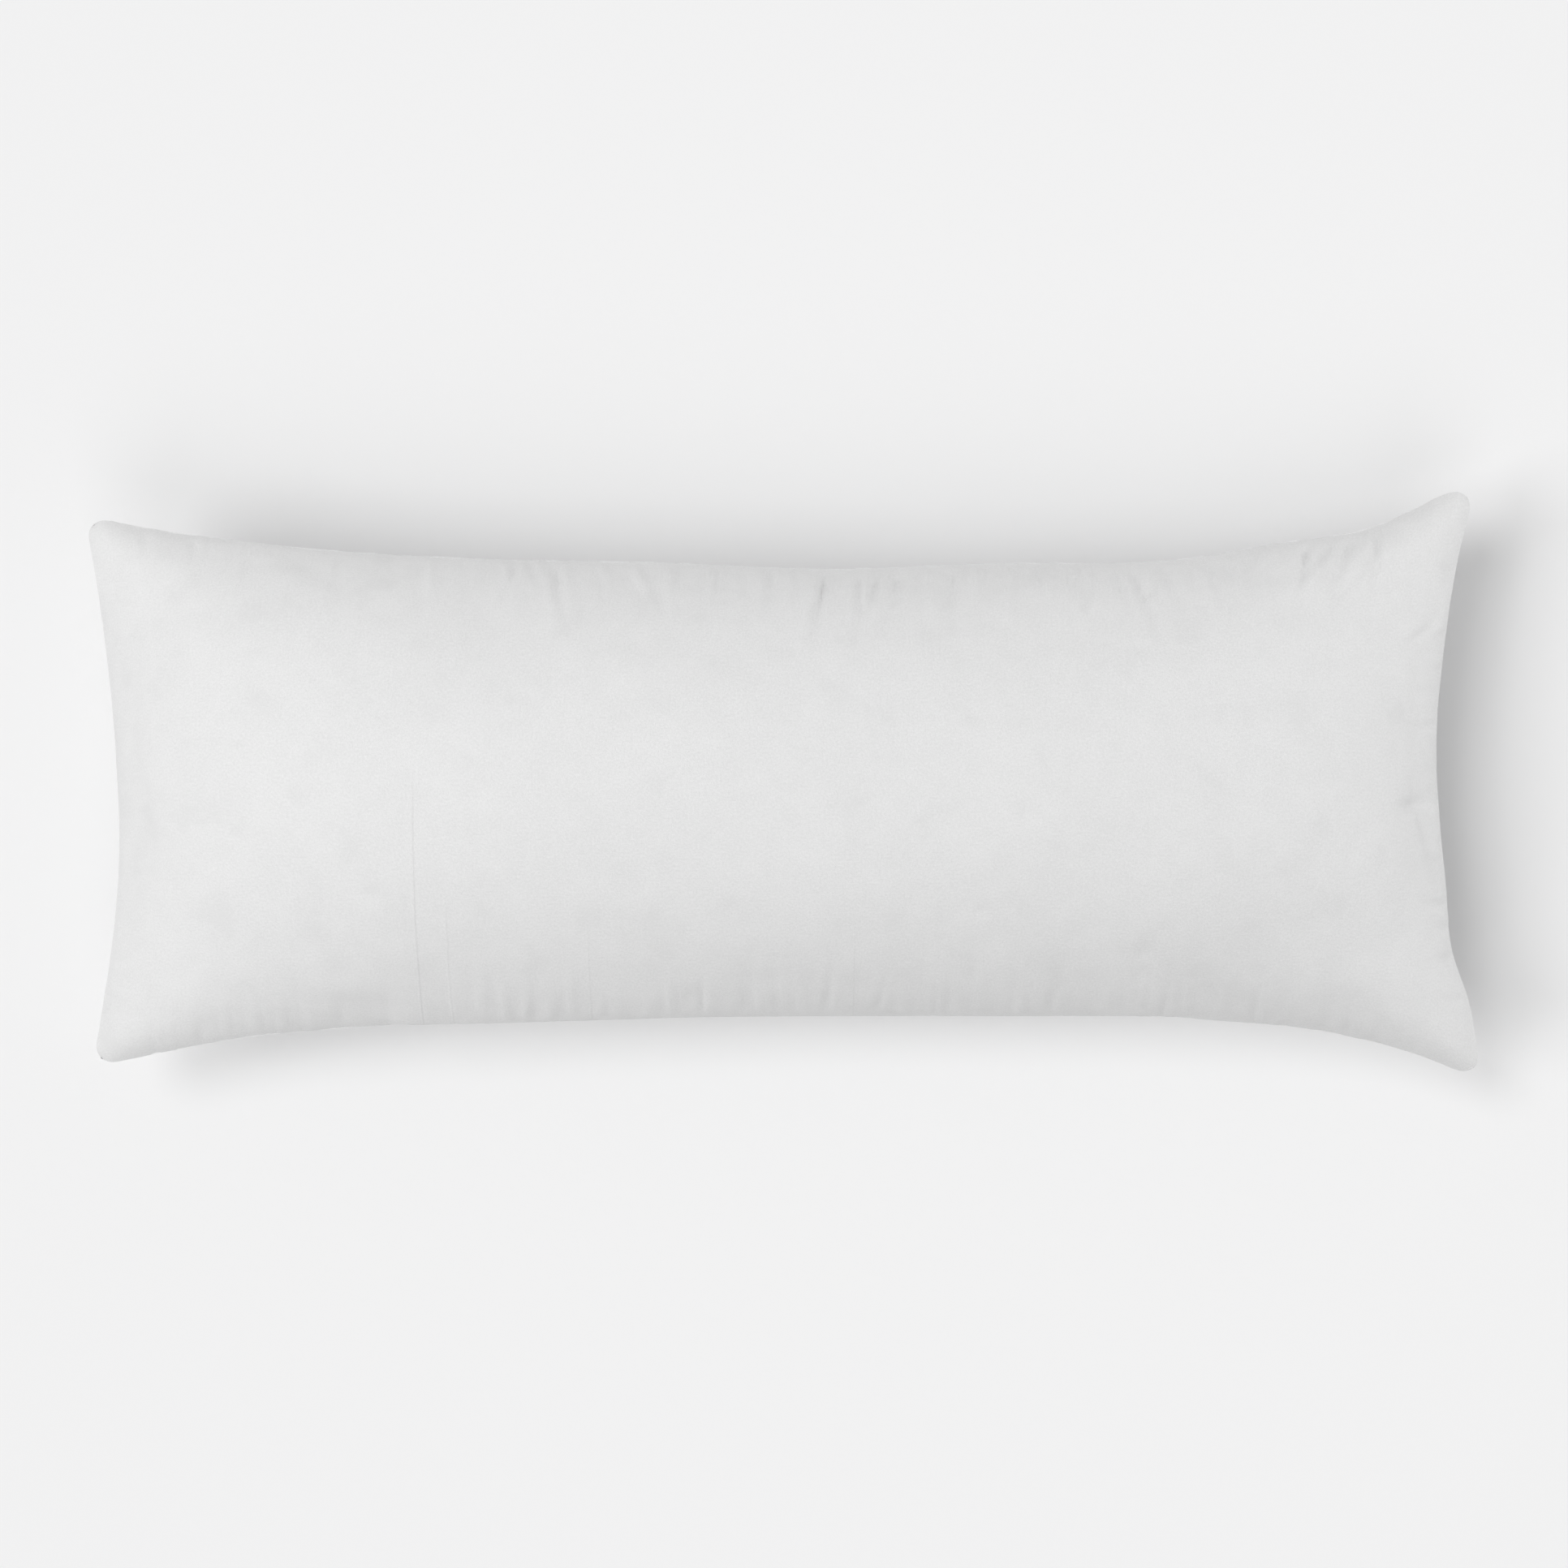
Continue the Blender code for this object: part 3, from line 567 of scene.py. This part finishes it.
def pucker_list():
    """Every pucker along the seams, as a crease; a few are ridges."""
    made = []
    for name, low, high, spacing, reach, depth in PUCKER_RUNS:
        place = low + 0.5 * spacing
        while place < high:
            lean = math.radians(rng.uniform(-LEAN_SPREAD, LEAN_SPREAD))
            if name == "upper":
                fan = math.cos(2.0 * math.pi * (place - LEAN_MIDDLE) / LEAN_PERIOD)
                lean -= math.radians(LEAN) * fan
            length = reach * rng.uniform(*PUCKER_LENGTH)
            width, swell = rng.uniform(*PUCKER_WIDTH), rng.uniform(*PUCKER_SWELL)
            swell += math.copysign(SWELL_LEAST, swell)
            line = pucker_line(name, place, lean, length)
            made.append((*line, 0.0, width, depth * swell, PUCKER_FADE))
            place += spacing * rng.uniform(*PUCKER_GAP)
    return made


def pucker_line(name, place, lean, length):
    """Start and end, in plan, of a pucker that runs inwards from a side."""
    side, axis, inwards = SIDES[name]
    start = np.array((place, float(curve_at(side, axis, np.array(place)))))
    if axis == 1:
        start = start[::-1]
    turn = np.array(((math.cos(lean), -math.sin(lean)), (math.sin(lean), math.cos(lean))))
    return start, start + turn @ np.array(inwards) * length


def dent(grid, x, y, half_length, half_width, turn, depth):
    """Depth field of an oval dent."""
    angle = math.radians(turn)
    dx, dy = grid[..., 0] - x, grid[..., 1] - y
    along = (dx * math.cos(angle) + dy * math.sin(angle)) / half_length
    across = (dy * math.cos(angle) - dx * math.sin(angle)) / half_width
    return -depth * np.exp(-along * along - across * across)


def dress(grid, side, folds, dents):
    """Add a panel's folds, dents and small unevenness along its normals."""
    depth = WAVE_HEIGHT * noise_field(grid, WAVE_SIZE, WAVE_SEED * side)
    depth = depth + streaks(grid, STREAK_SEED * side)
    for fold in folds:
        depth += crease(grid, *fold)
    for spot in dents:
        depth += dent(grid, *spot)
    share = zip_share(grid[..., 0])
    clear = grid[..., 2] - SEAM_Z if side > 0 else LIPS[2] - BAND_BELOW - grid[..., 2]
    band = blend(1.0, smooth_step(clear / BAND_BLEND), share)
    depth = np.where(grid[..., 1] < 0.0, depth * band, depth)
    return grid + depth[..., None] * grid_normals(grid, side)


def streaks(grid, seed):
    """Fine gathers that run inwards from the long seams."""
    spread = np.zeros(grid.shape[:2])
    for name, strength in STREAK_SIDES:
        away = np.maximum(distance(grid, name), 0.0)
        fade = np.exp(-(away / STREAK_REACH) ** STREAK_FADE)
        for place in zip(*np.nonzero(fade > STREAK_LEAST)):
            x, y = grid[place][:2]
            lean = STREAK_LEAN * noise.noise(Vector((x / STREAK_LEAN_SIZE, 0.0, seed))) * y
            ripple = noise.noise(Vector(((x + lean) / STREAK_WIDTH, y / STREAK_LENGTH, seed)))
            spread[place] += strength * fade[place] * ripple
    return STREAK_HEIGHT * spread


def dimple_list(count):
    """Small random dimples and swells, as dents."""
    made = []
    for _ in range(count):
        x, y, size, depth = (rng.uniform(*between) for between in DIMPLE_RANGES)
        made.append((x, y, size, size, 0.0, depth))
    return made


# ---- mesh pieces ----
def shape(name, mesh, finish, slot, *nodes):
    """Link a finished mesh as a piece of the pillow's body that stands for CAD nodes."""
    piece = placed(name, mesh)
    mesh.materials.append(finish)
    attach(piece, "pillow")
    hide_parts(*nodes)
    return piece


def panel_mesh(name, grid, side, cloth, flat):
    """A cloth panel: a fine outer skin, an inner skin at half its pitch, and their rim.
    Its UV map is the flat cut in metres."""
    columns, rows = grid.shape[:2]
    outer = np.arange(columns * rows).reshape(columns, rows)
    behind = (grid - cloth * grid_normals(grid, side))[::2, ::2]
    inner = np.arange(behind[..., 0].size).reshape(behind.shape[:2]) + columns * rows
    faces = grid_faces(outer, side) + grid_faces(inner, -side)
    borders = ((outer[:, 0], inner[:, 0], -side), (outer[:, -1], inner[:, -1], side),
               (outer[0], inner[0], side), (outer[-1], inner[-1], -side))
    for fine, coarse, turn in borders:
        for k in range(len(coarse) - 1):
            face = [coarse[k], coarse[k + 1], fine[2 * k + 2], fine[2 * k + 1], fine[2 * k]]
            faces.append([int(index) for index in face[::-turn]])
    verts = np.concatenate((grid.reshape(-1, 3), behind.reshape(-1, 3)))
    mesh = bpy.data.meshes.new(name)
    mesh.from_pydata(verts.tolist(), [], faces)
    laid = np.concatenate((flat.reshape(-1, 2), flat[::2, ::2].reshape(-1, 2)))
    corners = np.empty(len(mesh.loops), np.int32)
    mesh.loops.foreach_get("vertex_index", corners)
    cut_map = mesh.uv_layers.new(name="flat_cut")
    cut_map.data.foreach_set("uv", laid[corners].astype(np.float32).ravel())
    mesh.shade_smooth()
    mesh.set_sharp_from_angle(angle=math.radians(SHARP_ANGLE))
    return mesh


def inset(grid, plan_inset, depth):
    """A grid drawn in from the seam in plan and from the crown in height."""
    drawn = grid.copy()
    drawn[..., :2] *= 1.0 - plan_inset / np.array((0.5 * CUT[0], 0.5 * FILLED_WIDTH))
    drawn[..., 2] = SEAM_Z + (grid[..., 2] - SEAM_Z) * (1.0 - depth / (THICKNESS - SEAM_Z))
    drawn[..., 2] = np.maximum(drawn[..., 2], blend(grid[..., 2], depth, UNDERSIDE_LIFT))
    return drawn


def tube(name, routes, radii, finish, slot, *nodes, sides=3):
    """Threads along routes, each a list of points, as one meshed piece."""
    curve = bpy.data.curves.new(name, "CURVE")
    curve.dimensions = "3D"
    curve.bevel_depth = 1.0
    curve.bevel_resolution = sides - 2
    curve.use_fill_caps = True
    for route, radius in zip(routes, radii):
        spline = curve.splines.new("POLY")
        spline.points.add(len(route) - 1)
        radius = np.broadcast_to(radius, len(route))
        flat = np.concatenate((np.array(route), np.ones((len(route), 1))), axis=1)
        spline.points.foreach_set("co", flat.ravel())
        spline.points.foreach_set("radius", radius.astype(float))
    holder = placed(name + "_curve", curve)
    mesh = meshed(holder)
    bpy.data.objects.remove(holder, do_unlink=True)
    bpy.data.curves.remove(curve)
    mesh.name = name
    mesh.materials.clear()
    mesh.shade_smooth()
    return shape(name, mesh, finish, slot, *nodes)


def along(route, step):
    """The route at an even pitch."""
    route = np.array(route)
    place = run_of(route)
    wanted = np.linspace(0.0, place[-1], max(2, int(place[-1] / step) + 1))
    return sample_section(place, route, wanted)


def stitched(route):
    """A machine-stitched thread along a route, and its radius, which dips between stitches."""
    spaced = along(route, STITCH / STITCH_STEPS)
    phase = np.arange(len(spaced)) * math.pi / STITCH_STEPS
    return spaced, THREAD * blend(STITCH_WAIST, 1.0, abs(np.sin(phase)))


def add_seam_thread(grid):
    """The lockstitch that joins the two cover panels everywhere but along the zip."""
    xs = grid[:, 0, 0]
    low = int(np.searchsorted(xs, LIPS[0] - ZIP_HALF))
    high = int(np.searchsorted(xs, LIPS[0] + ZIP_HALF)) + 1
    ends = grid[-1, 1:-1], grid[0, -2:0:-1]
    route = np.vstack((grid[high:, 0], ends[0], grid[::-1, -1], ends[1], grid[:low, 0]))
    outwards = route * (1.0, 1.0, 0.0)
    outwards /= np.linalg.norm(outwards, axis=1, keepdims=True)
    spaced, radius = stitched(route - SEAM_THREAD_INSET * outwards)
    tube("cover_seam_stitches", [spaced], [radius], sewing_thread, "sewing_thread",
         "cover_seam_thread")


def zip_point(x, across, out):
    """A point in the zip's axes: along it, up its band and out of it."""
    return np.array((LIPS[0] + x, LIPS[1], LIPS[2])) + across * ZIP_UP + out * ZIP_OUT


def add_zip_stitching(half, side):
    """Stitches that hold one tape, on the cover's face and behind the tape."""
    bend = np.linspace(-1.0, 1.0, STITCH_STEPS + 1)
    arch = 1.0 - bend ** 4
    across = np.full(len(bend), side * STITCH_FROM_LIPS)
    routes = []
    for k in range(int(2.0 * ZIP_HALF / STITCH) - 1):
        x = (k + 0.75) * STITCH - ZIP_HALF + STITCH_HALF * STITCH * bend
        for out, bulge in STITCH_FACES:
            routes.append([zip_point(*place) for place in zip(x, across, out + bulge * arch)])
    radii = [THREAD * (0.55 + 0.35 * arch)] * len(routes)
    tube("zip_stitches_" + half, routes, radii, sewing_thread, "sewing_thread",
         "zipper_stitching_" + half)


def add_coil(half, side):
    """One half's nylon coil, wound as a helix within the CAD coil's section."""
    low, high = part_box("zipper_coil_" + half)
    turns = int((high.x - low.x) / COIL_PITCH) - 1
    angle = np.linspace(0.0, 2.0 * math.pi * turns, turns * COIL_STEPS + 1)
    x = (angle / (2.0 * math.pi) - 0.5 * turns) * COIL_PITCH
    across = side * (COIL_MIDDLE[0] + (COIL_HALF[0] - COIL_WIRE) * np.cos(angle))
    out = COIL_MIDDLE[1] + (COIL_HALF[1] - COIL_WIRE) * np.sin(angle)
    route = [zip_point(*place) for place in zip(x, across, out)]
    tube("zip_coil_" + half, [route], [COIL_WIRE], zip_nylon, "zip_nylon", "zipper_coil_" + half,
         sides=4)


def add_insert_stitching(grid):
    """The insert's seam thread and the ladder stitch that closes its filling gap."""
    low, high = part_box("insert_closing_stitch")
    upper = grid[:, -1]
    inside = (upper[:, 0] > low.x) & (upper[:, 0] < high.x)
    first, last = np.flatnonzero(inside)[[0, -1]]
    ends = (grid[0, -2:0:-1], grid[:, 0], grid[-1, 1:-1])
    spaced, radius = stitched(np.vstack((upper[first::-1], *ends, upper[:last - 1:-1])))
    tube("insert_seam_stitches", [spaced], [radius], sewing_thread, "sewing_thread",
         "insert_seam_thread")
    ladder = []
    for k, point in enumerate(along(upper[first:last + 1], LADDER_PITCH)):
        rise = LADDER_RISE if k % 2 else -LADDER_RISE
        ladder.append(point + np.array((0.0, LADDER_OUT, rise)))
        ladder.append(point + np.array((LADDER_RUN, LADDER_OUT, rise)))
    tube("insert_ladder_stitch", [ladder], [THREAD], sewing_thread, "sewing_thread",
         "insert_closing_stitch")


# ---- materials ----
def new_material(name, colour, roughness, **sockets):
    """A Principled material. Returns it with its node tree and shader."""
    made = bpy.data.materials.new(name)
    made.use_nodes = True
    tree = made.node_tree
    shader = tree.nodes["Principled BSDF"]
    shader.inputs["Base Color"].default_value = (*colour, 1.0)
    shader.inputs["Roughness"].default_value = roughness
    for socket, value in sockets.items():
        shader.inputs[socket.replace("_", " ")].default_value = value
    return made, tree, shader


def node(tree, kind, **values):
    """A node with its inputs set by name, or by number as in i0. An input is linked where the
    value is a socket."""
    made = tree.nodes.new(kind)
    if "operation" in values:
        made.operation = values.pop("operation")
    for name, value in values.items():
        key = int(name[1:]) if name[1:].isdigit() else name.replace("_", " ")
        if isinstance(value, bpy.types.NodeSocket):
            tree.links.new(value, made.inputs[key])
        else:
            made.inputs[key].default_value = value
    return made


def maths(tree, operation, *values):
    """The output of a Math node."""
    inputs = {"i" + str(k): value for k, value in enumerate(values)}
    return node(tree, "ShaderNodeMath", operation=operation, **inputs).outputs[0]


def object_place(tree):
    """The place on the piece, in the pillow's metres."""
    return tree.nodes.new("ShaderNodeTexCoord").outputs["Object"]


def roughen(tree, shader, factor, low, high):
    """Vary the roughness between two values by a factor."""
    rough = node(tree, "ShaderNodeMapRange", Value=factor, To_Min=low, To_Max=high)
    tree.links.new(rough.outputs[0], shader.inputs["Roughness"])


def weighted(tree, *parts):
    """The sum of (value, weight) parts."""
    total = 0.0
    for part, weight in parts:
        total = maths(tree, "MULTIPLY_ADD", part, weight, total)
    return total


def weave_height(tree, where, pitch):
    """Height of a plain weave: warp and weft that pass over each other by turns."""
    axes = node(tree, "ShaderNodeSeparateXYZ", i0=where).outputs
    warp, weft = (maths(tree, "SINE", maths(tree, "MULTIPLY", axes[k], 2.0 * math.pi / pitch))
                  for k in (0, 1))
    return maths(tree, "MULTIPLY", warp, weft)


def pressed_lines(tree):
    """Height of the folds pressed across the cloth, as narrow ridges that fade out."""
    where = object_place(tree)
    axes = node(tree, "ShaderNodeSeparateXYZ", i0=where).outputs
    lines = []
    for across, high, waver, strength in PRESSED:
        shake = maths(tree, "SUBTRACT", noise_at(tree, where, WAVER_SCALE), 0.5)
        shake = maths(tree, "MULTIPLY", shake, 2.0 * waver)
        off = maths(tree, "SUBTRACT", maths(tree, "ADD", axes[0], shake), across)
        off = maths(tree, "DIVIDE", maths(tree, "ABSOLUTE", off), PRESSED_WIDTH)
        ridge = maths(tree, "SMOOTH_MIN", off, 1.0)
        run = node(tree, "ShaderNodeMapRange", Value=axes[1], From_Min=high,
                   From_Max=high - PRESSED_FADE, To_Min=0.0, To_Max=strength).outputs[0]
        lines.append((maths(tree, "SUBTRACT", 1.0, ridge), run))
    return weighted(tree, *lines)


def noise_at(tree, where, scale, detail=2.0, roughness=0.5):
    """The factor of a noise texture."""
    return node(tree, "ShaderNodeTexNoise", Vector=where, Scale=scale, Detail=detail,
                Roughness=roughness).outputs[0]


def stretched(tree, where, by):
    """A place scaled by a factor per axis."""
    return node(tree, "ShaderNodeVectorMath", operation="MULTIPLY", i0=where, i1=by).outputs[0]


def tint(tree, shader, factor, dark, light):
    """Vary the base colour between two values by a factor."""
    ramp = tree.nodes.new("ShaderNodeValToRGB")
    for stop, place, colour in zip(ramp.color_ramp.elements, (0.3, 0.7), (dark, light)):
        stop.position = place
        stop.color = (*colour, 1.0)
    tree.links.new(factor, ramp.inputs[0])
    tree.links.new(ramp.outputs[0], shader.inputs["Base Color"])


def bump(tree, shader, height, metres):
    """Feed a height, in units of so many metres, to the shader's normal."""
    made = node(tree, "ShaderNodeBump", Height=height, Distance=metres, Strength=1.0)
    tree.links.new(made.outputs[0], shader.inputs["Normal"])


def cotton(name, dark, light, pitch, depth, roughness, sheen, pressed):
    """Woven cotton on the flat cut's UV map: plain weave, uneven yarn, and a mottled colour that is
    mostly painted shade of lumps, dimples and the grain's low spots.
    """
    made, tree, shader = new_material(name, light, roughness, Sheen_Weight=sheen, Sheen_Roughness=0.45,
                                      Specular_IOR_Level=0.35)
    laid = tree.nodes.new("ShaderNodeUVMap")
    laid.uv_map = "flat_cut"
    where = laid.outputs[0]
    slub = [noise_at(tree, stretched(tree, where, by), 1.0, 1.0) for by in YARN]
    yarn = maths(tree, "ADD", *slub)
    grain, coarse, shade_clouds, shade_blots, shade_patches = (noise_at(tree, where, *kind) for kind in COTTON_NOISES)
    height = weighted(tree, (weave_height(tree, where, pitch), 0.35), (yarn, 1.0), (grain, 1.0),
                      (coarse, 2.2))
    if pressed:
        height = weighted(tree, (height, 1.0), (pressed_lines(tree), PRESSED_DEPTH / depth))
    bump(tree, shader, height, depth)
    # Dark spots of painted shade in the cloth's colour.
    patch = node(tree, "ShaderNodeMapRange", Value=shade_patches, From_Min=0.56, From_Max=0.70,
                 To_Min=0.0, To_Max=0.22).outputs[0]
    # The colour's mottling is mostly painted shade. The broad noises stand for lumps and dimples. The
    # grain that also shapes the bump is darkened in its low spots. The yarn adds its own uneven tone.
    tone_and_painted_shade = weighted(tree, (shade_clouds, 0.31), (shade_blots, 0.31), (yarn, 0.14), (grain, 0.10),
                      (coarse, 1.0), (patch, -1.0))
    tint(tree, shader, maths(tree, "SUBTRACT", tone_and_painted_shade, 0.5), dark, light)
    roughen(tree, shader, grain, roughness - 0.06, roughness + 0.06)
    return made


def twisted_thread():
    """White polyester thread with its twist as fine bands in its bump, and as painted shade that
    darkens its colour in the grooves.
    """
    made, tree, shader = new_material("sewing_thread_look", (0.88, 0.88, 0.87), 0.55, Sheen_Weight=0.3)
    where = object_place(tree)
    twist = node(tree, "ShaderNodeTexWave", Vector=where, Scale=1400.0, Distortion=1.0).outputs[1]
    bump(tree, shader, twist, 0.00008)
    # Painted shade: the colour darkens in the twist's grooves.
    tint(tree, shader, twist, (0.78, 0.78, 0.77), (0.90, 0.90, 0.89))
    return made


def woven_tape():
    """Zip tape: a close herringbone of twill ribs along the tape, with painted shade darkening the
    colour between the ribs.
    """
    made, tree, shader = new_material("zip_tape_look", (0.86, 0.86, 0.85), 0.75, Sheen_Weight=0.2)
    where = object_place(tree)
    axes = node(tree, "ShaderNodeSeparateXYZ", i0=where).outputs
    zigzag = maths(tree, "PINGPONG", axes[2], TWILL[0])
    slanted = maths(tree, "ADD", axes[0], zigzag)
    ribs = maths(tree, "SINE", maths(tree, "MULTIPLY", slanted, 2.0 * math.pi / TWILL[1]))
    bump(tree, shader, ribs, 0.00006)
    # Painted shade: the colour darkens between the ribs.
    share = maths(tree, "ADD", maths(tree, "MULTIPLY", ribs, 0.3), 0.5)
    tint(tree, shader, share, (0.80, 0.80, 0.79), (0.88, 0.88, 0.87))
    return made


def coil_nylon():
    """White nylon, slightly translucent and smooth."""
    made, tree, shader = new_material("zip_nylon_look", (0.87, 0.87, 0.86), 0.32, Coat_Weight=0.15,
                                      Subsurface_Weight=0.15, Subsurface_Scale=0.0006)
    where = object_place(tree)
    tint(tree, shader, noise_at(tree, where, 700.0), (0.83, 0.83, 0.82), (0.89, 0.89, 0.88))
    return made


def satin_metal():
    """Satin nickel with fine brushing and rubbed spots."""
    made, tree, shader = new_material("zip_metal_look", (0.68, 0.68, 0.67), 0.30, Metallic=1.0,
                                      Anisotropic=0.3)
    where = object_place(tree)
    lines = noise_at(tree, stretched(tree, where, BRUSHING), 1.0, 2.0)
    bump(tree, shader, lines, 0.00002)
    worn = noise_at(tree, where, 420.0, 3.0)
    roughen(tree, shader, worn, 0.22, 0.42)
    tint(tree, shader, worn, (0.60, 0.60, 0.60), (0.72, 0.72, 0.71))
    return made


def fibre_fill():
    """Crimped polyester fibre: bright, matt and tangled, with painted shade darkening its colour in the
    tangle's hollows.
    """
    made, tree, shader = new_material("polyester_fibre_look", (0.92, 0.92, 0.92), 0.9, Sheen_Weight=0.5)
    where = object_place(tree)
    tangle = node(tree, "ShaderNodeTexNoise", Vector=where, Scale=260.0, Detail=6.0, Roughness=0.7,
                  Distortion=2.5).outputs[0]
    bump(tree, shader, tangle, 0.0012)
    # Painted shade: the colour darkens in the tangle's hollows.
    tint(tree, shader, tangle, (0.80, 0.80, 0.80), (0.95, 0.95, 0.95))
    return made


def repaint(name, finish):
    """Give a CAD node that stays a better material in each of its slots."""
    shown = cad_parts[name]
    for slot in shown.material_slots:
        slot.material = finish


# ---- stage ----
def add_floor():
    """A plain pale floor that reaches past every view."""
    mesh = bpy.data.meshes.new("floor")
    corners = [(FLOOR_HALF * x, FLOOR_HALF * y, 0.0) for x, y in ((-1, -1), (1, -1), (1, 1), (-1, 1))]
    mesh.from_pydata(corners, [], [(0, 1, 2, 3)])
    finish, _, _ = new_material("floor_paper", (0.88, 0.88, 0.882), 0.9, Specular_IOR_Level=0.1)
    mesh.materials.append(finish)
    floor = placed("floor", mesh)
    floor.location.z = cad_box[0][2] - FLOOR_GAP
    return floor


def only(thing, state):
    """A collection for light linking that includes or excludes one object."""
    linked = bpy.data.collections.new("lit_" + state.lower())
    linked.objects.link(thing)
    linked.collection_objects[0].light_linking.link_state = state
    return linked


def add_lamp(name, kind, power, receivers):
    """A lamp that lights only these objects."""
    lamp = placed(name, bpy.data.lights.new(name, kind))
    lamp.data.energy = power
    lamp.light_linking.receiver_collection = receivers
    return lamp


def add_lights(floor):
    """A softbox over the pillow's left half, weak fills at its ends, soft suns for its
    shadows on the floor, and sky."""
    on_floor, off_floor = only(floor, "INCLUDE"), only(floor, "EXCLUDE")
    for name, lean_left, lean_low, angle, strength in FLOOR_SUNS:
        sun = add_lamp(name, "SUN", strength, on_floor)
        sun.data.angle = math.radians(angle)
        sun.rotation_euler = (math.radians(lean_low), math.radians(-lean_left), 0.0)
    for name, place, size, power in SOFTBOXES:
        softbox = add_lamp(name, "AREA", power, off_floor)
        softbox.data.size = size
        softbox.location = place
        softbox.rotation_euler = Vector(place).to_track_quat("Z", "Y").to_euler()
    world = bpy.data.worlds.new("studio")
    world.use_nodes = True
    sky = world.node_tree.nodes["Background"]
    sky.inputs["Color"].default_value = (1.0, 1.0, 1.0, 1.0)
    sky.inputs["Strength"].default_value = SKY_STRENGTH
    bpy.context.scene.world = world


def add_camera():
    """A camera straight above the pillow, with the +Y side up in the picture."""
    camera = placed("camera", bpy.data.cameras.new("camera"))
    camera.data.lens = LENS
    camera.data.clip_end = CLIP_END
    camera.location = (0.0, 0.0, CAMERA_HEIGHT)
    bpy.context.scene.camera = camera


# ---- build ----
cover_cotton = cotton("cover_cotton_look", dark=(0.715, 0.715, 0.715), light=(0.775, 0.775, 0.775),
                      pitch=0.0011, depth=0.00011, roughness=0.72, sheen=0.34, pressed=True)
ticking = cotton("ticking_look", dark=(0.74, 0.74, 0.73), light=(0.82, 0.82, 0.81),
                 pitch=0.0008, depth=0.00006, roughness=0.82, sheen=0.10, pressed=False)
sewing_thread = twisted_thread()
zip_nylon = coil_nylon()
fibre = fibre_fill()

cut = flat_cut()
upper_grid, lower_grid = inflate(cut)
upper_grid, lower_grid = soften(upper_grid), soften(lower_grid)
fit_outline(upper_grid, lower_grid, cut)
rest_on_bed(upper_grid, lower_grid)
upper_grid, lower_grid = lump(upper_grid, 1), lump(lower_grid, -1)

insert_top, insert_bottom, fill_top, fill_bottom = (
    refine(inset(grid, *drawn_in), INSERT_CELL)
    for drawn_in in ((INSERT_INSET, INSERT_DEPTH), (FILL_INSET, FILL_DEPTH))
    for grid in (upper_grid, lower_grid))

open_for_zip(upper_grid, lower_grid)
round_out_wall(upper_grid, lower_grid)
puckers = pucker_list()
top_grid = dress(refine(upper_grid, TOP_CELL), 1, [*puckers, *FOLDS],
                 [*DENTS, *dimple_list(DIMPLES)])
bottom_grid = dress(refine(lower_grid, BOTTOM_CELL), -1, puckers[::2], dimple_list(DIMPLES // 3))

top_cut, bottom_cut, insert_cut = (refine(cut, cell) for cell in (TOP_CELL, BOTTOM_CELL, INSERT_CELL))
cover_top, cover_bottom, ticking_top, ticking_bottom = (
    shape(name, panel_mesh(name, grid, side, cloth, flat), finish, slot, replaced)
    for name, grid, side, cloth, flat, finish, slot, replaced in (
        ("cover_top", top_grid, 1, COVER_CLOTH, top_cut, cover_cotton, "cover_cotton",
         "cover_top_panel"),
        ("cover_bottom", bottom_grid, -1, COVER_CLOTH, bottom_cut, cover_cotton, "cover_cotton",
         "cover_bottom_panel"),
        ("ticking_top", insert_top, 1, TICKING_CLOTH, insert_cut, ticking, "ticking",
         "insert_ticking_top"),
        ("ticking_bottom", insert_bottom, -1, TICKING_CLOTH, insert_cut, ticking, "ticking",
         "insert_ticking_bottom")))
fill_mesh = closed_mesh("fibre_fill", fill_top, fill_bottom)[0]
fill_mesh.shade_smooth()
fill = shape("fibre_fill", fill_mesh, fibre, "polyester_fibre", "filling")

add_seam_thread(refine(upper_grid, BOTTOM_CELL))
add_insert_stitching(insert_top)
for zip_half, zip_side in (("upper", 1), ("lower", -1)):
    add_zip_stitching(zip_half, zip_side)
    add_coil(zip_half, zip_side)

tape_look, metal_look = woven_tape(), satin_metal()
for kept, look in (("zipper_tape_upper", tape_look), ("zipper_tape_lower", tape_look),
                   ("zipper_top_stop", zip_nylon), ("zipper_bottom_stop", zip_nylon),
                   ("zipper_slider", metal_look), ("zipper_pull", metal_look)):
    repaint(kept, look)

add_lights(add_floor())
add_camera()
bpy.context.scene.view_settings.view_transform = "Standard"
